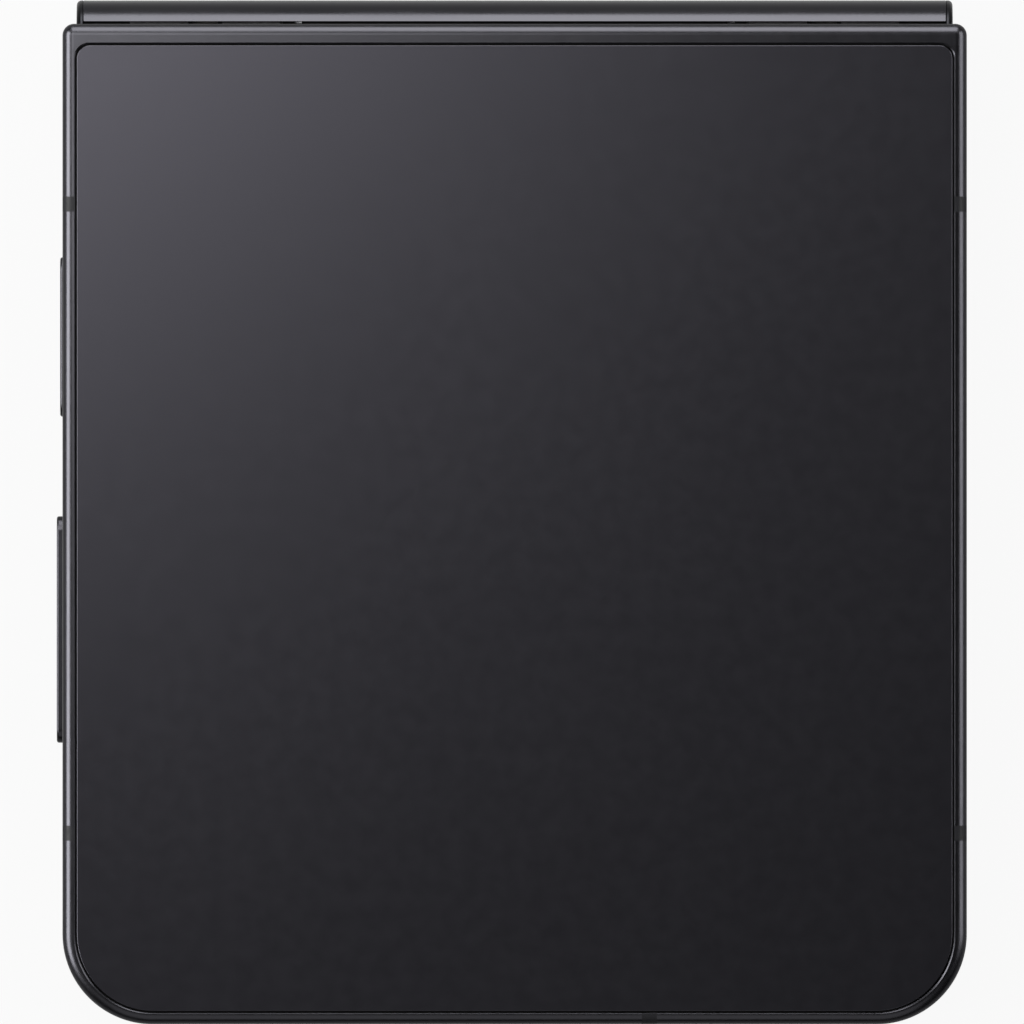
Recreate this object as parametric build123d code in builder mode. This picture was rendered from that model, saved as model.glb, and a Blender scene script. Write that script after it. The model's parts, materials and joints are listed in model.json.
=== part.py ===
"""Clamshell phone with a folding display, closed, lying on its cover side.

Millimetres. X runs along the hinge, Y from the free end towards the hinge, Z up. The base half lies on
top with its back glass up, the cover half below with its cameras down. Each half is drawn by depth, from
its bezel plane (0) to its back face. Both fold axes are parallel to X.
"""

import os
from math import atan2, cos, degrees, pi, radians, sin

from build123d import *

os.makedirs("parts", exist_ok=True)

# The two halves
half_width = 75.2
half_length = 83.2
half_thickness = 6.5
closed_gap = 0.7
camera_ring_height = 0.8
bottom_corner = 7.5
hinge_corner = 0.4
back_round = 0.9
front_bevel = 0.4
hinge_end_round = 0.6

# Spine and fold
spine_protrusion = 2.0
spine_inset = 1.15
spine_depth_open = 5.3
spine_wall = 0.6
end_gap_open = 0.2
spine_radius = 3.95
spine_leg_reach = 2.2
end_cap_width = 0.5
end_cap_plug = 0.35
end_clearance = 0.15

# Rims, glass and recesses
rim_side = 1.1
rim_bottom = 1.0
rim_hinge = 1.7
glass_thickness = 0.55
glass_gap = 0.1
glass_bottom_corner = 6.4
glass_hinge_corner = 1.1
wall_side = 2.3
wall_bottom = 1.7

# Inner face
bezel_rim = 0.7
bezel_thickness = 0.5
bezel_width = 2.2
display_thickness = 0.4
display_side_margin = 2.2
plate_thickness = 0.3
mid_plate_thickness = 0.7
recess_play = 0.2

# Hinge pocket inside each half
pocket_length = 6.2
bulkhead_thickness = 0.8
shelf_end = 13.3
shelf_step = 12.5
shelf_depth = 2.25
shelf_thickness = 0.95

# Gear train
gear_module = 0.12
pinion_teeth = 12
idler_teeth = 13
sector_teeth = 26
tooth_width_share = 0.42
gear_tip = 0.085
gear_root = 0.115
shaft_radius = 0.3
shaft_play = 0.03
train_lead = 2.244
sector_start = -2.0
sector_end = 112.0
sector_rim = 0.3

# Hinge modules: each has a rail, a gear and a rail station between four walls
module_end_gap = 4.45
module_wall = 1.0
rail_station_width = 3.0
gear_station_width = 2.5
sector_width = 1.1
station_play = 0.1
rail_inner = 2.45
rail_thickness = 0.4
rail_play = 0.05
rail_start = 30.0
block_play = 0.05
bracket_thickness = 0.9
bracket_back = 12.2
bracket_screw_inset = 2.6
screw_radius = 0.5
screw_head = 0.9
screw_head_height = 0.4
screw_play = 0.02
small_sides = 12

# Disc springs on the pinion shafts
spring_radius = 0.75
spring_disc = 0.4
spring_count = 2
spring_gap = 0.1
nut_width = 1.3
nut_length = 0.8
nut_gap = 0.05
journal_length = 0.6

# Worked-out places
half_x = half_width / 2
spine_x = half_x - spine_inset
length_y = half_length + spine_protrusion
free_y = -length_y / 2
spine_y = length_y / 2
hinge_y = spine_y - spine_protrusion
mid_z = camera_ring_height + half_thickness + closed_gap / 2
fold_line_y = hinge_y + end_gap_open / 2
axis_sum = closed_gap / 2
axis_difference = spine_depth_open - spine_protrusion + end_gap_open / 2
axis_half_gap = (axis_sum + axis_difference) / 2
axis_depth = (axis_difference - axis_sum) / 2
axis_y = fold_line_y - axis_half_gap
module_outer = spine_x - module_end_gap
base_rail_station = (module_outer - module_wall - rail_station_width, module_outer - module_wall)
gear_station = (base_rail_station[0] - module_wall - gear_station_width, base_rail_station[0] - module_wall)
cover_rail_station = (gear_station[0] - module_wall - rail_station_width, gear_station[0] - module_wall)
module_inner = cover_rail_station[0] - module_wall

BASE = 1
COVER = -1
SIDES = (-1, 1)


def level(side, depth):
    """Height of the plane that lies depth below one half's bezel plane."""
    return mid_z + side * (closed_gap / 2 + depth)


def span(side, depth_a, depth_b):
    """Heights of two depths, the lower one first."""
    return sorted((level(side, depth_a), level(side, depth_b)))


def fold_axis(side):
    """Place of one half's fold axis, as (y, z)."""
    return (axis_y, mid_z + side * axis_half_gap)


def inward(distance):
    """Y of a point that far from the fold line, towards the free end."""
    return fold_line_y - distance


def block(x0, x1, y0, y1, z0, z1, mode=Mode.ADD):
    """Box between two corners."""
    with Locations(((x0 + x1) / 2, (y0 + y1) / 2, (z0 + z1) / 2)):
        Box(x1 - x0, y1 - y0, z1 - z0, mode=mode)


def half_block(side, x0, x1, y0, y1, depth_a, depth_b, mode=Mode.ADD):
    """Box in one half, between two depths."""
    z0, z1 = span(side, depth_a, depth_b)
    block(x0, x1, y0, y1, z0, z1, mode)


def both_blocks(side, x0, x1, y0, y1, depth_a, depth_b, mode=Mode.ADD):
    """The same box at the left and at the right."""
    half_block(side, x0, x1, y0, y1, depth_a, depth_b, mode)
    half_block(side, -x1, -x0, y0, y1, depth_a, depth_b, mode)


def plate(side, reach_x, y0, y1, free_corner, hinge_end_corner, depth_a, depth_b, mode=Mode.ADD,
          corner=fillet):
    """Flat plate with one corner size at the free end and another at the hinge end."""
    z0, z1 = span(side, depth_a, depth_b)
    with BuildSketch(Plane.XY.offset(z0)) as outline:
        with Locations((0, (y0 + y1) / 2)):
            Rectangle(2 * reach_x, y1 - y0)
        if free_corner:
            corner(outline.vertices().group_by(Axis.Y)[0], free_corner)
        if hinge_end_corner:
            corner(outline.vertices().group_by(Axis.Y)[-1], hinge_end_corner)
    extrude(outline.sketch, amount=z1 - z0, mode=mode)


def post(side, x, y, radius, depth_a, depth_b, mode=Mode.ADD):
    """Round post or hole along Z in one half."""
    z0, z1 = span(side, depth_a, depth_b)
    with Locations((x, y, (z0 + z1) / 2)):
        Cylinder(radius, z1 - z0, mode=mode)


def small_post(side, x, y, radius, depth_a, depth_b, mode=Mode.ADD):
    """Small round piece or hole along Z that repeats, drawn with few sides."""
    z0, z1 = span(side, depth_a, depth_b)
    with BuildSketch(Plane.XY.offset(z0)) as outline:
        with Locations((x, y)):
            RegularPolygon(radius, small_sides)
    extrude(outline.sketch, amount=z1 - z0, mode=mode)


def shaft(x0, x1, centre, radius, mode=Mode.ADD):
    """Round bar or bore along X about (y, z)."""
    with BuildSketch(Plane.YZ.offset(x0)) as round_bar:
        with Locations(centre):
            Circle(radius)
    extrude(round_bar.sketch, amount=x1 - x0, mode=mode)


def ring_sector(centre, inner, outer, start, size, mode=Mode.ADD):
    """Part of a flat ring in the sketch that is open."""
    with BuildLine() as edge_lines:
        outside = CenterArc(centre, outer, start, size)
        inside = CenterArc(centre, inner, start, size)
        Line(outside @ 0, inside @ 0)
        Line(outside @ 1, inside @ 1)
    make_face(edge_lines.edges(), mode=mode)


def arc_bar(x0, x1, centre, inner, outer, start, size, mode=Mode.ADD):
    """Ring sector in the YZ plane, pushed along X."""
    with BuildSketch(Plane.YZ.offset(x0)) as bar:
        ring_sector(centre, inner, outer, start, size)
    extrude(bar.sketch, amount=x1 - x0, mode=mode)


def mirrored_span(side_x, near, far):
    """X limits of a station at the left or the right, lower one first."""
    return sorted((side_x * near, side_x * far))


# Shape of one half

def half_profile(side):
    """Side view of one half: rounded back corner and a nose about the fold axis."""
    centre = fold_axis(side)
    nose_radius = hinge_y - axis_y
    z0, z1 = span(side, 0, half_thickness)
    with BuildSketch(Plane.YZ) as profile:
        with Locations(((axis_y + 2 * free_y) / 2, (z0 + z1) / 2)):
            Rectangle(axis_y - 2 * free_y, z1 - z0)
        a0, a1 = sorted((centre[1], level(side, half_thickness)))
        with Locations(((axis_y + hinge_y) / 2, (a0 + a1) / 2)):
            Rectangle(nose_radius, a1 - a0)
        back_corner = profile.vertices().sort_by_distance((0, hinge_y, level(side, half_thickness)))[0]
        fillet(back_corner, hinge_end_round)
        with Locations(centre):
            Circle(nose_radius)
        with Locations((0, (z0 + z1) / 2)):
            Rectangle(4 * half_length, z1 - z0, mode=Mode.INTERSECT)
    return profile.sketch


def outer_shape(side):
    """Outer solid of one half, with its edges rounded."""
    plate(side, half_x, free_y, hinge_y, bottom_corner, 0, 0, half_thickness)
    for depth, cut, size in ((half_thickness, fillet, back_round), (0, chamfer, front_bevel)):
        plane_z = level(side, depth)
        rim = edges().filter_by(lambda e, z=plane_z: abs(e.center().Z - z) < 1e-4)
        rim = rim.filter_by(lambda e: e.center().Y < hinge_y - 1e-3)
        cut(rim, size)
    extrude(half_profile(side), amount=half_width, both=True, mode=Mode.INTERSECT)
    plate(side, half_x, 2 * free_y, hinge_y, 0, hinge_corner, 0, half_thickness, Mode.INTERSECT)


pocket_corner = 3.0
display_corner = 3.0
pocket_depth = half_thickness - glass_thickness - 0.3
glass_seat = half_thickness - glass_thickness
spine_end_x = spine_x + end_clearance
inner_x = half_x - wall_side
inner_free_y = free_y + wall_bottom
recess_x = half_x - bezel_rim
display_x = half_x - display_side_margin
recess_free_y = free_y + bezel_rim
display_free_y = free_y + display_side_margin
plate_depth = bezel_thickness + display_thickness
mid_depth = plate_depth + plate_thickness
mid_plate_back = mid_depth + mid_plate_thickness
bend_y = inward((closed_gap / 2 + bezel_thickness + display_thickness / 2) * pi / 2)
bezel_y = bend_y - 0.05
plate_y = bend_y - 0.05


def frame_body(side):
    """Metal frame of one half: rim, mid plate, hinge shelf and the pocket for the spine."""
    outer_shape(side)
    plate(side, half_x - rim_side, free_y + rim_bottom, hinge_y - rim_hinge,
          glass_bottom_corner + glass_gap, glass_hinge_corner + glass_gap,
          glass_seat, half_thickness + 1, Mode.SUBTRACT)
    plate(side, inner_x, inner_free_y, inward(shelf_end), pocket_corner, 1.0, mid_plate_back,
          glass_seat + 0.1, Mode.SUBTRACT, chamfer)
    plate(side, inner_x, inward(shelf_end + 2), inward(pocket_length + bulkhead_thickness), 0, 0,
          shelf_depth + shelf_thickness, glass_seat + 0.1, Mode.SUBTRACT)
    half_block(side, -spine_end_x, spine_end_x, inward(pocket_length), hinge_y + 1,
               -1, pocket_depth, Mode.SUBTRACT)
    plate(side, recess_x, recess_free_y, hinge_y + 5, bottom_corner - bezel_rim, 0,
          -1, bezel_thickness, Mode.SUBTRACT)
    plate(side, display_x + recess_play, display_free_y - recess_play, hinge_y + 5, display_corner + 0.2, 0,
          bezel_thickness - 0.1, mid_depth, Mode.SUBTRACT, chamfer)
    half_block(side, -inner_x + 0.4, inner_x - 0.4, inward(shelf_step), hinge_y,
               mid_depth - 0.1, shelf_depth, Mode.SUBTRACT)


band_width = 1.25
band_depth = 1.05
band_depth_end = 0.9
band_end_x = 11.2
band_from_hinge = 15.0
power_from_band = 11.0
keys_apart = 24.4
band_from_volume = 16.9
tray_band_gap = 3.075
tray_width = 10.4
tray_door = (12.0, 2.2)
band_upper_y = hinge_y - band_from_hinge
power_y = band_upper_y - power_from_band
volume_y = power_y - keys_apart
band_lower_y = volume_y - band_from_volume
tray_y = band_lower_y + band_width / 2 + tray_band_gap + tray_door[0] / 2
board_edge_y = tray_y + tray_width / 2 + 4.2


with BuildPart() as band_places:
    for y in (band_upper_y, band_lower_y):
        for side_x in SIDES:
            x0, x1 = mirrored_span(side_x, half_x - band_depth, half_x + 1)
            block(x0, x1, y - band_width / 2, y + band_width / 2, -1, level(BASE, half_thickness + 1))
    block(band_end_x - band_width / 2, band_end_x + band_width / 2, free_y - 1,
          free_y + band_depth_end, -1, level(BASE, half_thickness + 1))


def band_stock(side):
    """Bands of one half, cut to the outer shape."""
    outer_shape(side)
    add(band_places.part, mode=Mode.INTERSECT)
    plate(side, recess_x, recess_free_y, hinge_y, bottom_corner - bezel_rim, 0,
          -1, bezel_thickness, Mode.SUBTRACT)


def glass_sheet(side):
    """Glass that closes the back of one half, flush with the rim."""
    plate(side, half_x - rim_side - glass_gap, free_y + rim_bottom + glass_gap,
          hinge_y - rim_hinge - glass_gap, glass_bottom_corner, glass_hinge_corner,
          glass_seat, half_thickness)


def bezel_frame(side):
    """Raised edge around one half's inner display, open at the hinge."""
    plate(side, recess_x - 0.02, recess_free_y + 0.02, bezel_y, bottom_corner - bezel_rim, 0,
          0, bezel_thickness)
    plate(side, recess_x - bezel_width, recess_free_y + bezel_width, hinge_y + 5, 4.6, 0,
          -1, bezel_thickness + 1, Mode.SUBTRACT)


def display_panel(side):
    """Flat part of the folding display in one half."""
    plate(side, display_x, display_free_y, bend_y, display_corner, 0, bezel_thickness, plate_depth,
          corner=chamfer)


def support_sheet(side):
    """Stiff sheet that carries the display."""
    plate(side, display_x - 0.1, display_free_y + 0.1, plate_y, display_corner, 0, plate_depth, mid_depth,
          corner=chamfer)


bumper_radius = 0.55
bumper_height = closed_gap / 2 - 0.02
bumper_inset = 0.9
bumper_places = [(sx * (recess_x - bumper_inset), y) for sx in SIDES for y in (free_y + 6.5, hinge_y - 16.6)]


def bumper_set(side):
    """Small pads that meet the other half's when the phone is closed."""
    for x, y in bumper_places:
        small_post(side, x, y, bumper_radius, 0, -bumper_height)


magnet_size = (3.8, 8.0, 1.6)
magnet_wall_gap = 1.0
magnet_x = inner_x - magnet_wall_gap - magnet_size[0] / 2
magnet_y = board_edge_y + 1.6 + magnet_size[1] / 2


def magnet_set(side):
    """Two closing magnets on the mid plate."""
    for side_x in SIDES:
        x0, x1 = mirrored_span(side_x, magnet_x - magnet_size[0] / 2, magnet_x + magnet_size[0] / 2)
        half_block(side, x0, x1, magnet_y - magnet_size[1] / 2, magnet_y + magnet_size[1] / 2,
                   mid_plate_back, mid_plate_back + magnet_size[2])


# Gear train

sector_radius = gear_module * sector_teeth / 2
pinion_radius = gear_module * pinion_teeth / 2
idler_radius = gear_module * idler_teeth / 2
train_y = axis_y + train_lead
idler_offset = idler_radius
pinion_offset = idler_offset + idler_radius + pinion_radius


def train_centre(side, offset):
    """Centre of a gear of the train, as (y, z)."""
    return (train_y, mid_z + side * offset)


def direction(start, end):
    """Angle of the line from one gear centre to the next, in degrees."""
    return degrees(atan2(end[1] - start[1], end[0] - start[0]))


def meshed_phase(teeth_a, phase_a, teeth_b, line):
    """Tooth angle of gear b that meshes with gear a; line is the angle from a to b."""
    lead = teeth_a * (line - phase_a) / 360
    return line + 180 - (0.5 - lead) * 360 / teeth_b


def tooth_points(centre, radius, teeth, middle):
    """Corners of one straight-sided tooth."""
    pitch = 360 / teeth
    root_half = pitch * tooth_width_share / 2 * 1.35
    tip_half = pitch * tooth_width_share / 2 * 0.6
    corners = ((radius - gear_root, -root_half), (radius + gear_tip, -tip_half),
               (radius + gear_tip, tip_half), (radius - gear_root, root_half))
    return [(centre[0] + r * cos(radians(middle + a)), centre[1] + r * sin(radians(middle + a)))
            for r, a in corners]


def gear(x0, x1, centre, radius, teeth, phase):
    """Spur gear along X."""
    points = []
    for tooth in range(teeth):
        points += tooth_points(centre, radius, teeth, phase + tooth * 360 / teeth)
    with BuildSketch(Plane.YZ.offset(x0)) as wheel:
        with BuildLine():
            Polyline(*points, close=True)
        make_face()
    extrude(wheel.sketch, amount=x1 - x0)


base_sector_centre = fold_axis(BASE)
cover_sector_centre = fold_axis(COVER)
base_pinion_centre = train_centre(BASE, pinion_offset)
base_idler_centre = train_centre(BASE, idler_offset)
cover_idler_centre = train_centre(COVER, idler_offset)
cover_pinion_centre = train_centre(COVER, pinion_offset)

base_sector_phase = 0.0
base_pinion_phase = meshed_phase(sector_teeth, base_sector_phase, pinion_teeth,
                                 direction(base_sector_centre, base_pinion_centre))
base_idler_phase = meshed_phase(pinion_teeth, base_pinion_phase, idler_teeth,
                                direction(base_pinion_centre, base_idler_centre))
cover_idler_phase = meshed_phase(idler_teeth, base_idler_phase, idler_teeth,
                                 direction(base_idler_centre, cover_idler_centre))
cover_pinion_phase = meshed_phase(idler_teeth, cover_idler_phase, pinion_teeth,
                                  direction(cover_idler_centre, cover_pinion_centre))
cover_sector_phase = meshed_phase(pinion_teeth, cover_pinion_phase, sector_teeth,
                                  direction(cover_pinion_centre, cover_sector_centre))

gear_in, gear_out = gear_station
pinion_span = (gear_in + station_play, gear_out - station_play)
sector_span = (gear_out - sector_width, gear_out - station_play)
idler_span = (gear_in + station_play, sector_span[0] - 2 * station_play)
rail_outer = rail_inner + rail_thickness
spring_stack = spring_count * (spring_disc + spring_gap)
nut_start = spring_stack + nut_gap
base_shaft_span = (module_inner - nut_start - nut_length - 0.1, gear_out + journal_length)
cover_shaft_span = (gear_in - journal_length, module_outer + nut_start + nut_length + 0.1)
idler_shaft_span = (gear_in - journal_length, gear_out + journal_length)


def gear_pair(centre, radius, teeth, phase, width, shaft_span):
    """The same gear and shaft in the left and the right hinge module."""
    for side_x in SIDES:
        x0, x1 = mirrored_span(side_x, *width)
        gear(x0, x1, centre, radius, teeth, phase)
        s0, s1 = mirrored_span(side_x, *shaft_span)
        shaft(s0, s1, centre, shaft_radius)


def nut_pair(centre, near, far):
    """Nuts that load the disc springs of one pinion's shafts."""
    for side_x in SIDES:
        x0, x1 = mirrored_span(side_x, near, far)
        with BuildSketch(Plane.YZ.offset(x0)) as nut:
            with Locations(centre):
                RegularPolygon(nut_width / 2, 6, major_radius=False)
                Circle(shaft_radius, mode=Mode.SUBTRACT)
        extrude(nut.sketch, amount=x1 - x0)


def bracket_pair(side, station, phase):
    """Hinge brackets of one half: plate, toothed sector and arc rail in each module."""
    centre = fold_axis(side)
    turn = side
    front_y = axis_y - rail_inner + 0.03
    for side_x in SIDES:
        x0, x1 = mirrored_span(side_x, module_inner + 0.5, module_outer - 0.5)
        half_block(side, x0, x1, inward(bracket_back), front_y, shelf_depth - bracket_thickness, shelf_depth)
        r0, r1 = mirrored_span(side_x, station[0] + station_play, station[1] - station_play)
        arc_bar(r0, r1, centre, rail_inner, rail_outer, turn * rail_start, turn * (180 - rail_start))
        half_block(side, r0, r1, front_y - 0.2, axis_y - rail_inner, axis_depth, shelf_depth)
        g0, g1 = mirrored_span(side_x, *sector_span)
        half_block(side, g0, g1, front_y - 0.2, axis_y - sector_radius + gear_root, axis_depth, shelf_depth)
        ring_outer = sector_radius - gear_root + 0.01
        arc_bar(g0, g1, centre, ring_outer - sector_rim, ring_outer, turn * sector_start,
                turn * (180 - sector_start))
        sector_teeth_on(g0, g1, centre, side, phase)
    for x, y in bracket_screw_places():
        small_post(side, x, y, screw_radius + screw_play, -1, half_thickness, Mode.SUBTRACT)
        small_post(side, x, y, screw_head + screw_play, -1,
                   shelf_depth - bracket_thickness + screw_head_height, Mode.SUBTRACT)


def sector_teeth_on(x0, x1, centre, side, phase):
    """Teeth of one sector, over the angles that the pinion runs on."""
    pitch = 360 / sector_teeth
    reach = (sector_start, sector_end)
    for tooth in range(sector_teeth):
        middle = (phase + tooth * pitch + 180) % 360 - 180
        if reach[0] + pitch / 2 <= side * middle <= reach[1]:
            points = tooth_points(centre, sector_radius, sector_teeth, middle)
            with BuildSketch(Plane.YZ.offset(x0)) as one_tooth:
                with BuildLine():
                    Polyline(*points, close=True)
                make_face()
            extrude(one_tooth.sketch, amount=x1 - x0)


def bracket_screw_places():
    """Plan places of the screws that hold the brackets to the hinge shelf."""
    y = inward(bracket_back) + bracket_screw_inset
    return [(side_x * x, y) for side_x in SIDES
            for x in (module_inner + bracket_screw_inset, module_outer - bracket_screw_inset)]


def bracket_screw_set(side):
    """Countersunk screws through the brackets."""
    top = shelf_depth - bracket_thickness
    for x, y in bracket_screw_places():
        small_post(side, x, y, screw_head, top + 0.02, top + screw_head_height)
        small_post(side, x, y, screw_radius, top + screw_head_height, shelf_depth + shelf_thickness - 0.15)


def bracket_screw_holes(side):
    """Holes in the hinge shelf for the bracket screws."""
    for x, y in bracket_screw_places():
        small_post(side, x, y, screw_radius + screw_play, shelf_depth - 0.1,
                   shelf_depth + shelf_thickness - 0.1, Mode.SUBTRACT)


# Spine

leg_y = spine_y - spine_leg_reach


def spine_bar(radius, face_y, low_y, x0, x1, mode=Mode.ADD):
    """Stretch of the spine's section: arcs about both fold axes, a flat face, and nothing below low_y."""
    with BuildSketch(Plane.YZ.offset(x0)) as bar:
        for side in (BASE, COVER):
            with Locations(fold_axis(side)):
                Circle(radius)
        with Locations((axis_y, mid_z)):
            Rectangle(2 * radius, 2 * axis_half_gap)
        with Locations(((low_y + face_y) / 2, mid_z)):
            Rectangle(face_y - low_y, 8 * radius, mode=Mode.INTERSECT)
    extrude(bar.sketch, amount=x1 - x0, mode=mode)


leg_y = spine_y - spine_leg_reach
floor_y = spine_y - spine_wall
cavity_radius = spine_radius - spine_wall
cover_end_x = spine_x - end_cap_width
cap_low_y = axis_y + 0.325
tab_length = 2.6
tab_half = 1.15
tab_low_y = floor_y - 0.75
tab_screw_radius = 0.4
tab_screw_head = 0.75
tab_screw_head_height = 0.35
block_middle_y = spine_y - 2.18
block_low_y = spine_y - 2.75
block_middle_half = 1.5

with BuildPart() as spine_cover:
    spine_bar(spine_radius, spine_y, leg_y, -cover_end_x, cover_end_x)
    spine_bar(cavity_radius, floor_y, leg_y - 1, -cover_end_x, cover_end_x, Mode.SUBTRACT)
spine_cover.part.label = "spine_cover"
export_step(spine_cover.part, "parts/spine_cover.step")

with BuildPart() as spine_end_caps:
    for side_x in SIDES:
        x0, x1 = mirrored_span(side_x, cover_end_x, spine_x)
        spine_bar(spine_radius, spine_y, cap_low_y, x0, x1)
        p0, p1 = mirrored_span(side_x, cover_end_x - end_cap_plug, cover_end_x)
        spine_bar(cavity_radius - 0.02, floor_y - 0.02, leg_y, p0, p1)
    outer_ends = spine_end_caps.edges().filter_by(Plane.YZ)
    outer_ends = outer_ends.filter_by(lambda e: abs(abs(e.center().X) - spine_x) < 1e-3)
    outer_ends = outer_ends.filter_by(lambda e: e.center().Y > spine_y - 0.01)
    fillet(outer_ends, 0.3)
spine_end_caps.part.label = "spine_end_caps"
export_step(spine_end_caps.part, "parts/spine_end_caps.step")


def block_screw_places():
    """Plan places of the screws that hold the hinge blocks in the spine."""
    return [side_x * x for side_x in SIDES
            for x in (module_inner - tab_length / 2, module_outer + tab_length / 2)]


with BuildPart() as hinge_blocks:
    block_radius = cavity_radius - block_play
    for side_x in SIDES:
        x0, x1 = mirrored_span(side_x, module_inner, module_outer)
        spine_bar(block_radius, floor_y, block_low_y, x0, x1)
        block(x0, x1, block_low_y - 1, block_middle_y, mid_z - block_middle_half,
              mid_z + block_middle_half, Mode.SUBTRACT)
        t0, t1 = mirrored_span(side_x, module_inner - tab_length, module_outer + tab_length)
        block(t0, t1, tab_low_y, floor_y, mid_z - tab_half, mid_z + tab_half)
        g0, g1 = mirrored_span(side_x, gear_in - 0.2, gear_out + 0.2)
        block(g0, g1, block_low_y - 2, spine_y + 1, mid_z - 8, mid_z + 8, Mode.SUBTRACT)
        for side, station in ((BASE, base_rail_station), (COVER, cover_rail_station)):
            r0, r1 = mirrored_span(side_x, *station)
            arc_bar(r0, r1, fold_axis(side), rail_inner - rail_play, rail_outer + rail_play,
                    side * (rail_start - 100), side * 200, Mode.SUBTRACT)
        bores = ((base_pinion_centre, (module_inner - 1, gear_out + journal_length + 0.3)),
                 (cover_pinion_centre, (gear_in - journal_length - 0.3, module_outer + 1)),
                 (base_idler_centre, (gear_in - journal_length - 0.3, gear_out + journal_length + 0.3)),
                 (cover_idler_centre, (gear_in - journal_length - 0.3, gear_out + journal_length + 0.3)))
        for centre, bore_span in bores:
            b0, b1 = mirrored_span(side_x, *bore_span)
            shaft(b0, b1, centre, shaft_radius + shaft_play, Mode.SUBTRACT)
    with BuildSketch(Plane.XZ.offset(-floor_y)) as tab_holes:
        with Locations(*[(x, mid_z) for x in block_screw_places()]):
            RegularPolygon(tab_screw_radius + screw_play, small_sides)
    extrude(tab_holes.sketch, amount=floor_y - tab_low_y + 0.1, mode=Mode.SUBTRACT)
hinge_blocks.part.label = "hinge_blocks"
export_step(hinge_blocks.part, "parts/hinge_blocks.step")

with BuildPart() as block_screws:
    tab_places = [(x, mid_z) for x in block_screw_places()]
    with BuildSketch(Plane.XZ.offset(-floor_y)) as shanks:
        with Locations(*tab_places):
            RegularPolygon(tab_screw_radius, small_sides)
    extrude(shanks.sketch, amount=floor_y - tab_low_y)
    with BuildSketch(Plane.XZ.offset(-tab_low_y)) as heads:
        with Locations(*tab_places):
            RegularPolygon(tab_screw_head, small_sides)
    extrude(heads.sketch, amount=tab_screw_head_height)
block_screws.part.label = "block_screws"
export_step(block_screws.part, "parts/block_screws.step")

with BuildPart() as disc_springs:
    for side_x in SIDES:
        for centre, seat, step in ((base_pinion_centre, module_inner, -1), (cover_pinion_centre, module_outer, 1)):
            for disc in range(spring_count):
                near = seat + step * disc * (spring_disc + spring_gap)
                x0, x1 = mirrored_span(side_x, near, near + step * spring_disc)
                with BuildSketch(Plane.YZ.offset(x0)) as disc_ring:
                    with Locations(centre):
                        Circle(spring_radius)
                        Circle(shaft_radius + shaft_play, mode=Mode.SUBTRACT)
                extrude(disc_ring.sketch, amount=x1 - x0)
disc_springs.part.label = "disc_springs"
export_step(disc_springs.part, "parts/disc_springs.step")

with BuildPart() as display_fold:
    bend_inner = closed_gap / 2 + bezel_thickness
    arc_bar(-display_x, display_x, (bend_y, mid_z), bend_inner, bend_inner + display_thickness, -90, 180)
display_fold.part.label = "display_fold"
export_step(display_fold.part, "parts/display_fold.step")

# Gears

with BuildPart() as base_pinions:
    gear_pair(base_pinion_centre, pinion_radius, pinion_teeth, base_pinion_phase, pinion_span,
              base_shaft_span)
base_pinions.part.label = "base_pinions"
export_step(base_pinions.part, "parts/base_pinions.step")

with BuildPart() as cover_pinions:
    gear_pair(cover_pinion_centre, pinion_radius, pinion_teeth, cover_pinion_phase, pinion_span,
              cover_shaft_span)
cover_pinions.part.label = "cover_pinions"
export_step(cover_pinions.part, "parts/cover_pinions.step")

with BuildPart() as base_idlers:
    gear_pair(base_idler_centre, idler_radius, idler_teeth, base_idler_phase, idler_span, idler_shaft_span)
base_idlers.part.label = "base_idlers"
export_step(base_idlers.part, "parts/base_idlers.step")

with BuildPart() as cover_idlers:
    gear_pair(cover_idler_centre, idler_radius, idler_teeth, cover_idler_phase, idler_span, idler_shaft_span)
cover_idlers.part.label = "cover_idlers"
export_step(cover_idlers.part, "parts/cover_idlers.step")

with BuildPart() as base_spring_nuts:
    nut_pair(base_pinion_centre, module_inner - nut_start, module_inner - nut_start - nut_length)
base_spring_nuts.part.label = "base_spring_nuts"
export_step(base_spring_nuts.part, "parts/base_spring_nuts.step")

with BuildPart() as cover_spring_nuts:
    nut_pair(cover_pinion_centre, module_outer + nut_start, module_outer + nut_start + nut_length)
cover_spring_nuts.part.label = "cover_spring_nuts"
export_step(cover_spring_nuts.part, "parts/cover_spring_nuts.step")

# Pieces that both halves have

with BuildPart() as base_antenna_bands:
    band_stock(BASE)
base_antenna_bands.part.label = "base_antenna_bands"
export_step(base_antenna_bands.part, "parts/base_antenna_bands.step")

with BuildPart() as cover_antenna_bands:
    band_stock(COVER)
cover_antenna_bands.part.label = "cover_antenna_bands"
export_step(cover_antenna_bands.part, "parts/cover_antenna_bands.step")

with BuildPart() as back_glass:
    glass_sheet(BASE)
back_glass.part.label = "back_glass"
export_step(back_glass.part, "parts/back_glass.step")

with BuildPart() as base_bezel:
    bezel_frame(BASE)
base_bezel.part.label = "base_bezel"
export_step(base_bezel.part, "parts/base_bezel.step")

earpiece_slit = (10.0, 0.4)
earpiece_slit_y = free_y + 1.9

with BuildPart() as cover_bezel:
    bezel_frame(COVER)
    with BuildSketch(Plane.XY.offset(level(COVER, 1))) as slit:
        with Locations((0, earpiece_slit_y)):
            SlotOverall(*earpiece_slit)
    extrude(slit.sketch, amount=2, mode=Mode.SUBTRACT)
cover_bezel.part.label = "cover_bezel"
export_step(cover_bezel.part, "parts/cover_bezel.step")

with BuildPart() as inner_display_base:
    display_panel(BASE)
inner_display_base.part.label = "inner_display_base"
export_step(inner_display_base.part, "parts/inner_display_base.step")

selfie_y = display_free_y + 3.4
selfie_lens_radius = 1.75
selfie_hole_radius = 1.9

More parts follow.
